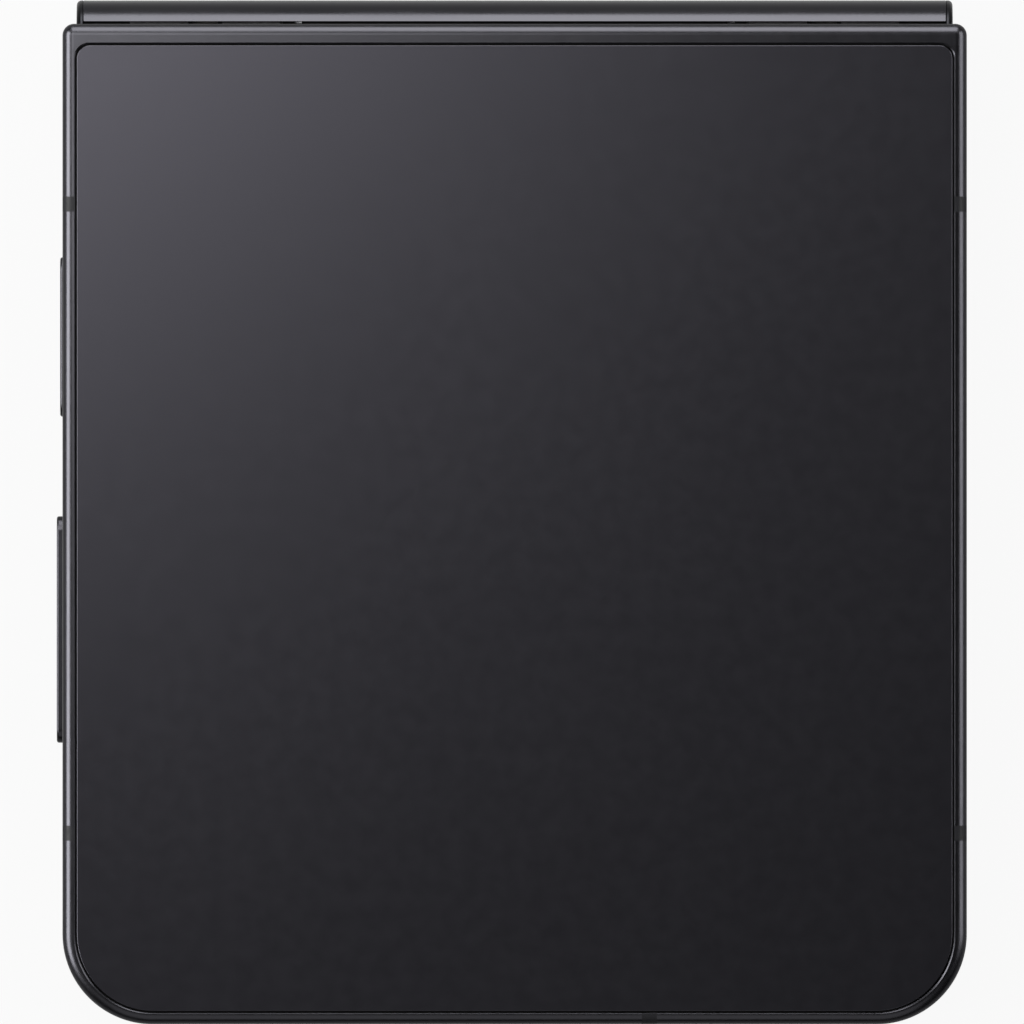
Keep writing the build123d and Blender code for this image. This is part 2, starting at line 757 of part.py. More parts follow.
with BuildPart() as inner_display_cover:
    display_panel(COVER)
    post(COVER, 0, selfie_y, selfie_hole_radius, 0, mid_depth, Mode.SUBTRACT)
inner_display_cover.part.label = "inner_display_cover"
export_step(inner_display_cover.part, "parts/inner_display_cover.step")

with BuildPart() as base_support_plate:
    support_sheet(BASE)
base_support_plate.part.label = "base_support_plate"
export_step(base_support_plate.part, "parts/base_support_plate.step")

with BuildPart() as cover_support_plate:
    support_sheet(COVER)
    post(COVER, 0, selfie_y, selfie_hole_radius, 0, mid_depth + 1, Mode.SUBTRACT)
cover_support_plate.part.label = "cover_support_plate"
export_step(cover_support_plate.part, "parts/cover_support_plate.step")

with BuildPart() as base_bumpers:
    bumper_set(BASE)
base_bumpers.part.label = "base_bumpers"
export_step(base_bumpers.part, "parts/base_bumpers.step")

with BuildPart() as cover_bumpers:
    bumper_set(COVER)
cover_bumpers.part.label = "cover_bumpers"
export_step(cover_bumpers.part, "parts/cover_bumpers.step")

with BuildPart() as base_magnets:
    magnet_set(BASE)
base_magnets.part.label = "base_magnets"
export_step(base_magnets.part, "parts/base_magnets.step")

with BuildPart() as cover_magnets:
    magnet_set(COVER)
cover_magnets.part.label = "cover_magnets"
export_step(cover_magnets.part, "parts/cover_magnets.step")

with BuildPart() as base_brackets:
    bracket_pair(BASE, base_rail_station, base_sector_phase)
base_brackets.part.label = "base_brackets"
export_step(base_brackets.part, "parts/base_brackets.step")

with BuildPart() as cover_brackets:
    bracket_pair(COVER, cover_rail_station, cover_sector_phase)
cover_brackets.part.label = "cover_brackets"
export_step(cover_brackets.part, "parts/cover_brackets.step")

with BuildPart() as base_bracket_screws:
    bracket_screw_set(BASE)
base_bracket_screws.part.label = "base_bracket_screws"
export_step(base_bracket_screws.part, "parts/base_bracket_screws.step")

with BuildPart() as cover_bracket_screws:
    bracket_screw_set(COVER)
cover_bracket_screws.part.label = "cover_bracket_screws"
export_step(cover_bracket_screws.part, "parts/cover_bracket_screws.step")

# Base half

usb_width = 8.94
usb_height = 3.16
usb_length = 7.3
usb_wall = 0.3
usb_inset = 0.25
usb_play = 0.05
usb_depth = half_thickness / 2
usb_pocket_margin = 0.4
tongue_width = 6.69
tongue_height = 0.7
boss_radius = 1.3
board_screw_radius = 0.5
board_screw_head = 0.95
board_screw_head_height = 0.5
board_depth = 2.6
board_thickness = 0.7
speaker_slot = (2.2, 1.2)
speaker_slot_count = 5
speaker_slot_pitch = 2.9
mic_radius = 0.5
mic_x = -9.5
screen_gap = 0.1
internal_back = glass_seat - 0.6
wall_gap = 0.3
speaker_length = 22.0
speaker_x = (inner_x - 2.8 - speaker_length, inner_x - 2.8)
speaker_chamber_wall = 3.5
motor_length = 10.5
motor_x = (-inner_x + 2.3, -inner_x + 2.3 + motor_length)
motor_y = (free_y + 6.1, free_y + 17.1)
usb_board_x = (motor_x[1] + 2.0, speaker_x[0] - 2.0)
usb_board_y = (inner_free_y + wall_gap, free_y + 18.0)
base_board_screws_at = [(usb_board_x[0] + 2.0, usb_board_y[1] - 2.9), (usb_board_x[1] - 3.0, usb_board_y[1] - 2.9),
                        (-usb_width / 2 - 5.0, inner_free_y + 2.9)]


def end_slots(side, places, size, reach):
    """Rounded slots through the free end's wall."""
    with BuildSketch(Plane.XZ.offset(-free_y + 1)) as slots:
        with Locations(*[(x, level(side, half_thickness / 2)) for x in places]):
            SlotOverall(*size)
    extrude(slots.sketch, amount=-reach - 1, mode=Mode.SUBTRACT)


def end_hole(side, x, radius, reach):
    """Round hole through the free end's wall."""
    with BuildSketch(Plane.XZ.offset(-free_y + 1)) as hole:
        with Locations((x, level(side, half_thickness / 2))):
            Circle(radius)
    extrude(hole.sketch, amount=-reach - 1, mode=Mode.SUBTRACT)


def bosses(side, places):
    """Screw bosses on the mid plate, with blind holes."""
    for x, y in places:
        small_post(side, x, y, boss_radius, mid_plate_back, board_depth)
        small_post(side, x, y, board_screw_radius + screw_play, mid_plate_back - 0.3, board_depth + 0.1,
                   Mode.SUBTRACT)


def board_screw_set(side, places):
    """Screws that hold a circuit board to its bosses."""
    for x, y in places:
        small_post(side, x, y, board_screw_radius, mid_plate_back - 0.2, board_depth + board_thickness)
        small_post(side, x, y, board_screw_head, board_depth + board_thickness,
                   board_depth + board_thickness + board_screw_head_height)


usb_y0 = free_y + usb_inset
usb_y1 = usb_y0 + usb_length
slot_places = [sum(speaker_x) / 2 + (n - (speaker_slot_count - 1) / 2) * speaker_slot_pitch
               for n in range(speaker_slot_count)]

with BuildPart() as base_frame:
    frame_body(BASE)
    add(band_places.part, mode=Mode.SUBTRACT)
    bosses(BASE, base_board_screws_at)
    bracket_screw_holes(BASE)
    end_slots(BASE, [0], (usb_width + 2 * usb_play, usb_height + 2 * usb_play), wall_bottom + 0.1)
    half_block(BASE, -usb_width / 2 - usb_pocket_margin, usb_width / 2 + usb_pocket_margin, inner_free_y - 0.05,
               usb_y1 + wall_gap, usb_depth - usb_height / 2 - 0.02, glass_seat - 0.1, Mode.SUBTRACT)
    end_slots(BASE, slot_places, speaker_slot, wall_bottom + 0.1)
    end_hole(BASE, mic_x, mic_radius, wall_bottom + 0.1)
base_frame.part.label = "base_frame"
export_step(base_frame.part, "parts/base_frame.step")

with BuildPart() as usb_port:
    with BuildSketch(Plane.XZ.offset(-usb_y0)) as shell:
        with Locations((0, level(BASE, usb_depth))):
            SlotOverall(usb_width, usb_height)
            SlotOverall(usb_width - 2 * usb_wall, usb_height - 2 * usb_wall, mode=Mode.SUBTRACT)
    extrude(shell.sketch, amount=-usb_length)
    with BuildSketch(Plane.XZ.offset(-usb_y1)) as end_wall:
        with Locations((0, level(BASE, usb_depth))):
            SlotOverall(usb_width, usb_height)
    extrude(end_wall.sketch, amount=0.6)
    half_block(BASE, -tongue_width / 2, tongue_width / 2, usb_y0 + 0.9, usb_y1 - 0.3,
               usb_depth - tongue_height / 2, usb_depth + tongue_height / 2)
usb_port.part.label = "usb_port"
export_step(usb_port.part, "parts/usb_port.step")

chip_size = (3.2, 2.4, 0.8)
chip_y = usb_board_y[1] - 5.2

with BuildPart() as usb_board:
    half_block(BASE, *usb_board_x, *usb_board_y, board_depth, board_depth + board_thickness)
    half_block(BASE, -usb_width / 2 - screen_gap, usb_width / 2 + screen_gap, inner_free_y, usb_y1 + screen_gap,
               0, half_thickness, Mode.SUBTRACT)
    for x, y in base_board_screws_at:
        small_post(BASE, x, y, board_screw_radius + screw_play, 0, half_thickness, Mode.SUBTRACT)
    for x in (-12.5, -7.5, -2.5):
        half_block(BASE, x - chip_size[0] / 2, x + chip_size[0] / 2, chip_y - chip_size[1] / 2,
                   chip_y + chip_size[1] / 2, board_depth + board_thickness,
                   board_depth + board_thickness + chip_size[2])
usb_board.part.label = "usb_board"
export_step(usb_board.part, "parts/usb_board.step")

with BuildPart() as base_board_screws:
    board_screw_set(BASE, base_board_screws_at)
base_board_screws.part.label = "base_board_screws"
export_step(base_board_screws.part, "parts/base_board_screws.step")

speaker_y = (inner_free_y + wall_gap, usb_board_y[1] - 0.4)

with BuildPart() as loudspeaker:
    half_block(BASE, *speaker_x, *speaker_y, mid_plate_back, internal_back)
    corner = loudspeaker.edges().filter_by(Axis.Z).sort_by_distance((speaker_x[1], free_y, mid_z))[0]
    chamfer(corner, pocket_corner)
    half_block(BASE, speaker_x[0] + speaker_chamber_wall, speaker_x[1] - speaker_chamber_wall,
               speaker_y[0] + speaker_chamber_wall, speaker_y[1] - speaker_chamber_wall,
               internal_back - 0.4, internal_back + 1, Mode.SUBTRACT)
loudspeaker.part.label = "loudspeaker"
export_step(loudspeaker.part, "parts/loudspeaker.step")

with BuildPart() as vibration_motor:
    half_block(BASE, *motor_x, *motor_y, mid_plate_back, internal_back)
    chamfer(vibration_motor.edges().filter_by(Axis.Z), 1.0)
vibration_motor.part.label = "vibration_motor"
export_step(vibration_motor.part, "parts/vibration_motor.step")

antenna_cover_thickness = 0.35
antenna_cover_notch = 4.5

with BuildPart() as antenna_cover:
    plate(BASE, inner_x - wall_gap, inner_free_y + wall_gap, usb_board_y[1] + 0.1, pocket_corner, 1.0,
          internal_back, internal_back + antenna_cover_thickness, corner=chamfer)
    half_block(BASE, -usb_width / 2 - antenna_cover_notch, usb_width / 2 + antenna_cover_notch,
               inner_free_y, usb_y1 + 2.0, 0, half_thickness, Mode.SUBTRACT)
antenna_cover.part.label = "antenna_cover"
export_step(antenna_cover.part, "parts/antenna_cover.step")

battery_gap = 1.0
battery_top_gap = 0.15
ferrite_thickness = 0.1
battery_x = magnet_x - magnet_size[0] / 2 - battery_gap
base_battery_y = (usb_board_y[1] + 1.1, inward(shelf_end) - battery_gap)

with BuildPart() as base_battery:
    half_block(BASE, -battery_x, battery_x, *base_battery_y, mid_plate_back, internal_back - ferrite_thickness)
    chamfer(base_battery.edges().filter_by(Axis.Z), 1.2)
base_battery.part.label = "base_battery"
export_step(base_battery.part, "parts/base_battery.step")

coil_width = 10.5
coil_margin = 4.45
coil_height = 0.3
ferrite_margin = 1.5
coil_y = sum(base_battery_y) / 2
coil_outer = (base_battery_y[1] - base_battery_y[0]) / 2 - coil_margin
ferrite_half = coil_outer + ferrite_margin

with BuildPart() as charging_coil:
    plate(BASE, ferrite_half, coil_y - ferrite_half, coil_y + ferrite_half, 6.0, 6.0,
          internal_back - ferrite_thickness, internal_back, corner=chamfer)
    with BuildSketch(Plane.XY.offset(level(BASE, internal_back))) as winding:
        with Locations((0, coil_y)):
            Circle(coil_outer)
            Circle(coil_outer - coil_width, mode=Mode.SUBTRACT)
    extrude(winding.sketch, amount=coil_height)
charging_coil.part.label = "charging_coil"
export_step(charging_coil.part, "parts/charging_coil.step")

# Cover half

key_height = 2.4
key_play = 0.1
key_cap_seat = 1.25
key_flange_thickness = 0.3
key_flange_margin = 0.4
key_pocket_margin = 0.6
key_chamfer = 0.15
rocker_ridge = 0.85
key_depth = half_thickness / 2
power_length = 13.3
power_protrusion = 0.3
volume_length = 18.9
volume_protrusion = 0.58
switch_strip = 0.35
switch_strip_half = 1.3
switch_strip_overhang = 1.6
switch_dome_radius = 1.1
switch_dome_height = 0.36
volume_dome_offset = 4.5
camera_y = free_y + 9.0
wide_camera_x = -half_x + 9.0
ultrawide_camera_x = wide_camera_x + 14.0
ring_outer = 5.9
ring_neck = 5.15
ring_bore = 4.3
ring_window_seat = 4.7
window_depth = half_thickness + 0.2
window_thickness = 0.4
ring_chamfer = 0.25
camera_back = 4.9
barrel_back = 6.4
wide_camera_half = 5.2
wide_barrel = 4.0
wide_lens = 2.1
ultrawide_camera_half = 4.6
ultrawide_barrel = 3.5
ultrawide_lens = 1.5
flash_x = ultrawide_camera_x + 9.1
flash_radius = 1.5
flash_stem = 1.1
tray_depth = 3.95
tray_length = 16.4
tray_thickness = 0.8
tray_door_thickness = 1.1
tray_play = 0.08
card_size = (12.3, 8.8)
eject_radius = 0.45
socket_wall = 0.2
socket_x = (half_x - tray_door_thickness - tray_length - 1.8, inner_x - 1.1)
cover_board_x = inner_x - 1.3
cover_board_y = (inner_free_y + wall_gap, board_edge_y)
cover_battery_y = (cover_board_y[1] + battery_gap, base_battery_y[1])
camera_bay_x = ultrawide_camera_x + ultrawide_camera_half + 1.6
camera_bay_y = camera_y + wide_camera_half + 1.4
earpiece_x = (5.2, 17.0)
earpiece_y = (inner_free_y + wall_gap, inner_free_y + 4.3)
earpiece_back = 4.6
selfie_module_half = 2.6
selfie_module_y = (selfie_y - 3.2, selfie_y + 2.0)
cover_board_screws_at = [(-cover_board_x + 2.0, cover_board_y[1] - 2.6), (cover_board_x - 2.0, cover_board_y[1] - 2.6),
                         (10.0, earpiece_y[1] + 3.6), (cover_board_x - 6.5, inner_free_y + 4.4)]
can_height = 1.4
left_can_x = (-cover_board_x + 3.0, -13.0)


def key_outline(y, length, height, x0, x1, mode=Mode.ADD):
    """Rounded key shape in the YZ plane, pushed along X."""
    with BuildSketch(Plane.YZ.offset(x0)) as outline:
        with Locations((y, level(COVER, key_depth))):
            SlotOverall(length, height)
    extrude(outline.sketch, amount=x1 - x0, mode=mode)


def key_opening(y, length):
    """Opening in the rim for a key, wider inside for its flange."""
    key_outline(y, length + 2 * key_play, key_height + 2 * key_play, -half_x - 1,
                -half_x + key_cap_seat + 0.1, Mode.SUBTRACT)
    key_outline(y, length + 2 * key_pocket_margin, key_height + 2 * key_pocket_margin,
                -half_x + key_cap_seat, -inner_x + 0.1, Mode.SUBTRACT)


def key_shape(y, length, protrusion, rest_gap):
    """Key with its cap outside and its retaining flange inside the rim."""
    flange_x = -half_x + key_cap_seat + rest_gap
    key_outline(y, length, key_height, -half_x - protrusion, flange_x + key_flange_thickness)
    cap_edges = edges().filter_by(lambda e: e.center().X < -half_x - protrusion + 1e-3)
    chamfer(cap_edges, key_chamfer)
    key_outline(y, length + 2 * key_flange_margin, key_height + 2 * key_flange_margin,
                flange_x, flange_x + key_flange_thickness)


with BuildPart() as cover_frame:
    frame_body(COVER)
    add(band_places.part, mode=Mode.SUBTRACT)
    bosses(COVER, cover_board_screws_at)
    bracket_screw_holes(COVER)
    post(COVER, 0, selfie_y, selfie_hole_radius, 0, mid_plate_back + 1, Mode.SUBTRACT)
    key_opening(power_y, power_length)
    key_opening(volume_y, volume_length)
    with BuildSketch(Plane.YZ.offset(inner_x - 1)) as door_opening:
        with Locations((tray_y, level(COVER, tray_depth))):
            SlotOverall(tray_door[0] + 2 * tray_play, tray_door[1] + 2 * tray_play)
    extrude(door_opening.sketch, amount=wall_side + 2, mode=Mode.SUBTRACT)
    end_hole(COVER, mic_x, mic_radius, wall_bottom + 0.1)
cover_frame.part.label = "cover_frame"
export_step(cover_frame.part, "parts/cover_frame.step")

with BuildPart() as power_key:
    key_shape(power_y, power_length, power_protrusion, 0.02)
power_key.part.label = "power_key"
export_step(power_key.part, "parts/power_key.step")

with BuildPart() as volume_key:
    key_shape(volume_y, volume_length, volume_protrusion, 0.25)
    with Locations((-half_x + key_cap_seat + 0.15, volume_y, level(COVER, key_depth))):
        Cylinder(rocker_ridge, key_height)
volume_key.part.label = "volume_key"
export_step(volume_key.part, "parts/volume_key.step")

with BuildPart() as key_switches:
    strip_z0, strip_z1 = span(COVER, key_depth - switch_strip_half, key_depth + switch_strip_half)
    for y, length, domes in ((power_y, power_length, (0,)),
                             (volume_y, volume_length, (-volume_dome_offset, volume_dome_offset))):
        long_half = length / 2 + switch_strip_overhang
        block(-inner_x, -inner_x + switch_strip, y - long_half, y + long_half, strip_z0, strip_z1)
        for offset_y in domes:
            shaft(-inner_x - switch_dome_height, -inner_x + 0.1, (y + offset_y, level(COVER, key_depth)),
                  switch_dome_radius)
key_switches.part.label = "key_switches"
export_step(key_switches.part, "parts/key_switches.step")

with BuildPart() as cover_glass:
    glass_sheet(COVER)
    for x in (wide_camera_x, ultrawide_camera_x):
        post(COVER, x, camera_y, ring_neck + 0.05, 0, half_thickness + 1, Mode.SUBTRACT)
    post(COVER, flash_x, camera_y, flash_radius + 0.05, 0, half_thickness + 1, Mode.SUBTRACT)
cover_glass.part.label = "cover_glass"
export_step(cover_glass.part, "parts/cover_glass.step")

with BuildPart() as cover_display:
    plate(COVER, inner_x - 0.5, inner_free_y + 0.5, inward(pocket_length + bulkhead_thickness + 0.3), pocket_corner,
          1.5, internal_back, glass_seat, corner=chamfer)
    half_block(COVER, -inner_x, flash_x + flash_radius + 1.1, inner_free_y, camera_bay_y, 0, half_thickness,
               Mode.SUBTRACT)
cover_display.part.label = "cover_display"
export_step(cover_display.part, "parts/cover_display.step")

with BuildPart() as camera_rings:
    for x in (wide_camera_x, ultrawide_camera_x):
        post(COVER, x, camera_y, ring_outer, half_thickness, half_thickness + camera_ring_height)
        post(COVER, x, camera_y, ring_neck, glass_seat, half_thickness)
    rim_edges = camera_rings.edges().filter_by(lambda e: e.center().Z < 1e-4)
    chamfer(rim_edges, ring_chamfer)
    for x in (wide_camera_x, ultrawide_camera_x):
        post(COVER, x, camera_y, ring_bore, 0, half_thickness + 2, Mode.SUBTRACT)
        post(COVER, x, camera_y, ring_window_seat, window_depth, half_thickness + 2, Mode.SUBTRACT)
camera_rings.part.label = "camera_rings"
export_step(camera_rings.part, "parts/camera_rings.step")

with BuildPart() as camera_windows:
    for x in (wide_camera_x, ultrawide_camera_x):
        post(COVER, x, camera_y, ring_window_seat - 0.03, window_depth, window_depth + window_thickness)
camera_windows.part.label = "camera_windows"
export_step(camera_windows.part, "parts/camera_windows.step")


def camera_module(x, half_size, barrel, lens):
    """Square camera housing with its round lens barrel."""
    half_block(COVER, x - half_size, x + half_size, camera_y - half_size, camera_y + half_size,
               mid_plate_back, camera_back)
    post(COVER, x, camera_y, barrel, camera_back, barrel_back)
    post(COVER, x, camera_y, lens, barrel_back - 0.4, barrel_back + 0.1, Mode.SUBTRACT)


with BuildPart() as wide_camera:
    camera_module(wide_camera_x, wide_camera_half, wide_barrel, wide_lens)
wide_camera.part.label = "wide_camera"
export_step(wide_camera.part, "parts/wide_camera.step")

with BuildPart() as ultrawide_camera:
    camera_module(ultrawide_camera_x, ultrawide_camera_half, ultrawide_barrel, ultrawide_lens)
ultrawide_camera.part.label = "ultrawide_camera"
export_step(ultrawide_camera.part, "parts/ultrawide_camera.step")

with BuildPart() as flash_lens:
    post(COVER, flash_x, camera_y, flash_stem, board_depth + board_thickness, glass_seat)
    post(COVER, flash_x, camera_y, flash_radius, glass_seat, half_thickness)
flash_lens.part.label = "flash_lens"
export_step(flash_lens.part, "parts/flash_lens.step")

with BuildPart() as selfie_camera:
    half_block(COVER, -selfie_module_half, selfie_module_half, *selfie_module_y, mid_plate_back, camera_back)
    post(COVER, 0, selfie_y, selfie_lens_radius, bezel_thickness + 0.05, mid_plate_back)
    post(COVER, 0, selfie_y, 0.8, 0, bezel_thickness + 0.4, Mode.SUBTRACT)
selfie_camera.part.label = "selfie_camera"
export_step(selfie_camera.part, "parts/selfie_camera.step")

with BuildPart() as earpiece:
    half_block(COVER, *earpiece_x, *earpiece_y, mid_plate_back, earpiece_back)
    chamfer(earpiece.edges().filter_by(Axis.Z), 0.6)
earpiece.part.label = "earpiece"
export_step(earpiece.part, "parts/earpiece.step")

with BuildPart() as main_board:
    half_block(COVER, -cover_board_x, cover_board_x, *cover_board_y, board_depth, board_depth + board_thickness)
    board_corners = main_board.edges().filter_by(Axis.Z).group_by(Axis.Y)[0].sort_by(Axis.X)
    chamfer(board_corners[-2:], pocket_corner)
    half_block(COVER, -inner_x, camera_bay_x, free_y, camera_bay_y, 0, half_thickness, Mode.SUBTRACT)
    half_block(COVER, -selfie_module_half - 0.6, earpiece_x[1] + 0.6, free_y, earpiece_y[1] + 0.7, 0,
               half_thickness, Mode.SUBTRACT)
    half_block(COVER, -selfie_module_half - 0.6, selfie_module_half + 0.6, free_y,
               selfie_module_y[1] + 1.0, 0, half_thickness, Mode.SUBTRACT)
    for x, y in cover_board_screws_at:
        small_post(COVER, x, y, board_screw_radius + screw_play, 0, half_thickness, Mode.SUBTRACT)
main_board.part.label = "main_board"
export_step(main_board.part, "parts/main_board.step")

large_can_y = (camera_bay_y + 3.5, cover_board_y[1] - 2.9)
small_can_y = (free_y + 13.6, free_y + 18.6)
cans = [(*left_can_x, *large_can_y), (-10.0, 7.0, *large_can_y), (7.0, 16.0, *small_can_y)]

with BuildPart() as shield_cans:
    for can in cans:
        half_block(COVER, *can, board_depth + board_thickness, board_depth + board_thickness + can_height)
    chamfer(shield_cans.edges().filter_by(Axis.Z), 0.6)
shield_cans.part.label = "shield_cans"
export_step(shield_cans.part, "parts/shield_cans.step")

with BuildPart() as cover_board_screws:
    board_screw_set(COVER, cover_board_screws_at)
cover_board_screws.part.label = "cover_board_screws"
export_step(cover_board_screws.part, "parts/cover_board_screws.step")

with BuildPart() as cover_battery:
    half_block(COVER, -battery_x, battery_x, *cover_battery_y, mid_plate_back, internal_back - battery_top_gap)
    chamfer(cover_battery.edges().filter_by(Axis.Z), 1.2)
cover_battery.part.label = "cover_battery"
export_step(cover_battery.part, "parts/cover_battery.step")

tray_top = tray_depth + tray_thickness / 2
tray_low = tray_depth - tray_thickness / 2
socket_top = board_depth + board_thickness
socket_half = tray_width / 2 + 0.15

with BuildPart() as sim_tray:
    with BuildSketch(Plane.YZ.offset(half_x - tray_door_thickness)) as door:
        with Locations((tray_y, level(COVER, tray_depth))):
            SlotOverall(*tray_door)
    extrude(door.sketch, amount=tray_door_thickness)
    half_block(COVER, half_x - tray_door_thickness - tray_length, half_x - tray_door_thickness,
               tray_y - tray_width / 2, tray_y + tray_width / 2, tray_low, tray_top)
    card_x = half_x - tray_door_thickness - 2.2 - card_size[0] / 2
    card_y = tray_y + 0.3
    half_block(COVER, card_x - card_size[0] / 2, card_x + card_size[0] / 2, card_y - card_size[1] / 2,
               card_y + card_size[1] / 2, tray_depth - 0.25, half_thickness, Mode.SUBTRACT)
    shaft(half_x - tray_door_thickness - 1, half_x + 1,
          (tray_y - tray_door[0] / 2 + tray_door[1] / 2 + 0.1, level(COVER, tray_depth)), eject_radius,
          Mode.SUBTRACT)
sim_tray.part.label = "sim_tray"
export_step(sim_tray.part, "parts/sim_tray.step")

with BuildPart() as sim_socket:
    half_block(COVER, *socket_x, tray_y - socket_half - socket_wall, tray_y + socket_half + socket_wall,
               socket_top, tray_top + 0.1 + socket_wall)
    half_block(COVER, socket_x[0] + 0.6, socket_x[1] + 1, tray_y - socket_half, tray_y + socket_half,
               tray_low - 0.08, tray_top + 0.1, Mode.SUBTRACT)
sim_socket.part.label = "sim_socket"
export_step(sim_socket.part, "parts/sim_socket.step")
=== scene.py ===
"""Clamshell phone with a folding display: rims, glasses, lenses, keys, the bending display and every
finish, over the CAD frame. Metres, in the CAD frame: X along the hinge, Y towards it, Z up out of the
back glass.
"""

import json
import math

import bmesh
import bpy
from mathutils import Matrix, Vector


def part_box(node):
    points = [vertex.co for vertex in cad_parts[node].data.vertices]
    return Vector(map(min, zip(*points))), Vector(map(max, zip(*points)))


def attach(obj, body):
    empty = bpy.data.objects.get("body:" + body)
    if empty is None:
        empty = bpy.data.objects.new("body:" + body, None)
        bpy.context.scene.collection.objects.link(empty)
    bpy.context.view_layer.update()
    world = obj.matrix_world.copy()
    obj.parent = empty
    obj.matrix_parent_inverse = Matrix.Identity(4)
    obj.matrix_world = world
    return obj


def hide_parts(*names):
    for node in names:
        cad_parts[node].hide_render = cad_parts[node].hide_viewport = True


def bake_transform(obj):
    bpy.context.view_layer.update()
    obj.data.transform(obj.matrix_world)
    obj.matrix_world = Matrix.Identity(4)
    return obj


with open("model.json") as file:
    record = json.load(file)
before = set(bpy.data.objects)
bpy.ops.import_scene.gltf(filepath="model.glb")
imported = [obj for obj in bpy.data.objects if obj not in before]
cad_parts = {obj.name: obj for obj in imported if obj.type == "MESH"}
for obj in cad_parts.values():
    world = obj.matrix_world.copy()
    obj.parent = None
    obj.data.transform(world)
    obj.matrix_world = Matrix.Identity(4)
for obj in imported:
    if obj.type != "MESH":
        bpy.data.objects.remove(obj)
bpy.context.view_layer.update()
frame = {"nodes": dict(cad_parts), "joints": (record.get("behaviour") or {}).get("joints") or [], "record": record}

MM = 0.001
SEAM = 1e-6
SAME = 1e-7
SIDES = (-1, 1)


# Places read from the frame

def node_box(node):
    """Lowest and highest corner of a CAD node."""
    low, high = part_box(node)
    return Vector(low), Vector(high)


base_low, base_high = node_box("base_frame")
cover_high = node_box("cover_frame")[1]
mid_z = (base_low.z + cover_high.z) / 2
closed_gap = base_low.z - cover_high.z
base_axis = Vector(next(joint["pos_m"] for joint in frame["joints"] if joint["name"] == "fold_base"))


# Camera, lamps and floor

PICTURE_CENTRE_X = -0.22 * MM
PICTURE_WIDTH = 85.15 * MM
RIM_BELOW_GLASS = 0.9 * MM
LENS = 1300.0
SENSOR = 36.0
FAR_CLIP = 100
FLOOR_RADIUS = 9
FLOOR_GREY = 0.18
SEEN_WHITE = 0.93
FLOOR_REFLECTED = 0.15
SKY_REFLECTED = 0.032
SKY_LIGHT = 0.03
LAMPS = {
    "upper_left_softbox": {"place": (-0.069, 0.078, 0.216), "size": (0.118, 0.118), "power": 0.298,
                           "aim": (0, 0, 0.015)},
    "left_strip": {"place": (-0.43, 0.05, 0.245), "size": (0.50, 0.27), "power": 6.3},
    "right_strip": {"place": (0.42, 0.10, 0.22), "size": (0.36, 0.30), "power": 2.1},
    "back_strip": {"place": (0.0, 0.45, 0.22), "size": (0.40, 0.40), "power": 4.0},
    "front_fill": {"place": (0.0, -0.38, 0.36), "size": (0.50, 0.40), "power": 0.62},
}


def make_camera():
    """Camera straight above the back glass, far off, with the hinge at the top of the picture."""
    data = bpy.data.cameras.new("camera")
    data.lens = LENS
    data.sensor_width = SENSOR
    data.clip_end = FAR_CLIP
    camera = bpy.data.objects.new("camera", data)
    bpy.context.collection.objects.link(camera)
    rim_z = base_high.z - RIM_BELOW_GLASS
    camera.location = (PICTURE_CENTRE_X, 0, rim_z + PICTURE_WIDTH * LENS / SENSOR)
    bpy.context.scene.camera = camera


def lamp(name, place, size, power, aim=(0, 0, 0.01)):
    """Rectangular soft lamp aimed at the phone."""
    data = bpy.data.lights.new(name, "AREA")
    data.shape = "RECTANGLE"
    data.size, data.size_y = size
    data.energy = power
    lamp_object = bpy.data.objects.new(name, data)
    bpy.context.collection.objects.link(lamp_object)
    lamp_object.location = place
    direction = Vector(aim) - Vector(place)
    lamp_object.rotation_euler = direction.to_track_quat("-Z", "Y").to_euler()


def white_share(tree, reflected, least):
    """Share of white for each kind of ray: full where it is seen, a little where it is reflected."""
    path = tree.nodes.new("ShaderNodeLightPath")
    shares = {"Is Camera Ray": SEEN_WHITE, "Is Transmission Ray": SEEN_WHITE, "Is Glossy Ray": reflected}
    strongest = None
    for ray, share in shares.items():
        scaled = tree.nodes.new("ShaderNodeMath")
        scaled.operation = "MULTIPLY"
        scaled.inputs[1].default_value = share
        tree.links.new(path.outputs[ray], scaled.inputs[0])
        larger = tree.nodes.new("ShaderNodeMath")
        larger.operation = "MAXIMUM"
        larger.inputs[1].default_value = least
        tree.links.new(scaled.outputs[0], larger.inputs[0])
        if strongest:
            tree.links.new(strongest.outputs[0], larger.inputs[1])
        strongest = larger
    return strongest.outputs[0]


def light_scene():
    """Plain studio light: a dim sky that is seen as white, and the soft lamps."""
    scene = bpy.context.scene
    scene.view_settings.view_transform = "Standard"
    world = bpy.data.worlds.new("studio")
    scene.world = world
    world.use_nodes = True
    tree = world.node_tree
    sky = tree.nodes["Background"]
    sky.inputs["Color"].default_value = (1, 1, 1, 1)
    tree.links.new(white_share(tree, SKY_REFLECTED, SKY_LIGHT), sky.inputs["Strength"])
    for name, settings in LAMPS.items():
        lamp(name, **settings)


def deselect():
    """Nothing selected and nothing in edit mode."""
    if bpy.context.object and bpy.context.object.mode != "OBJECT":
        bpy.ops.object.mode_set(mode="OBJECT")
    bpy.ops.object.select_all(action="DESELECT")


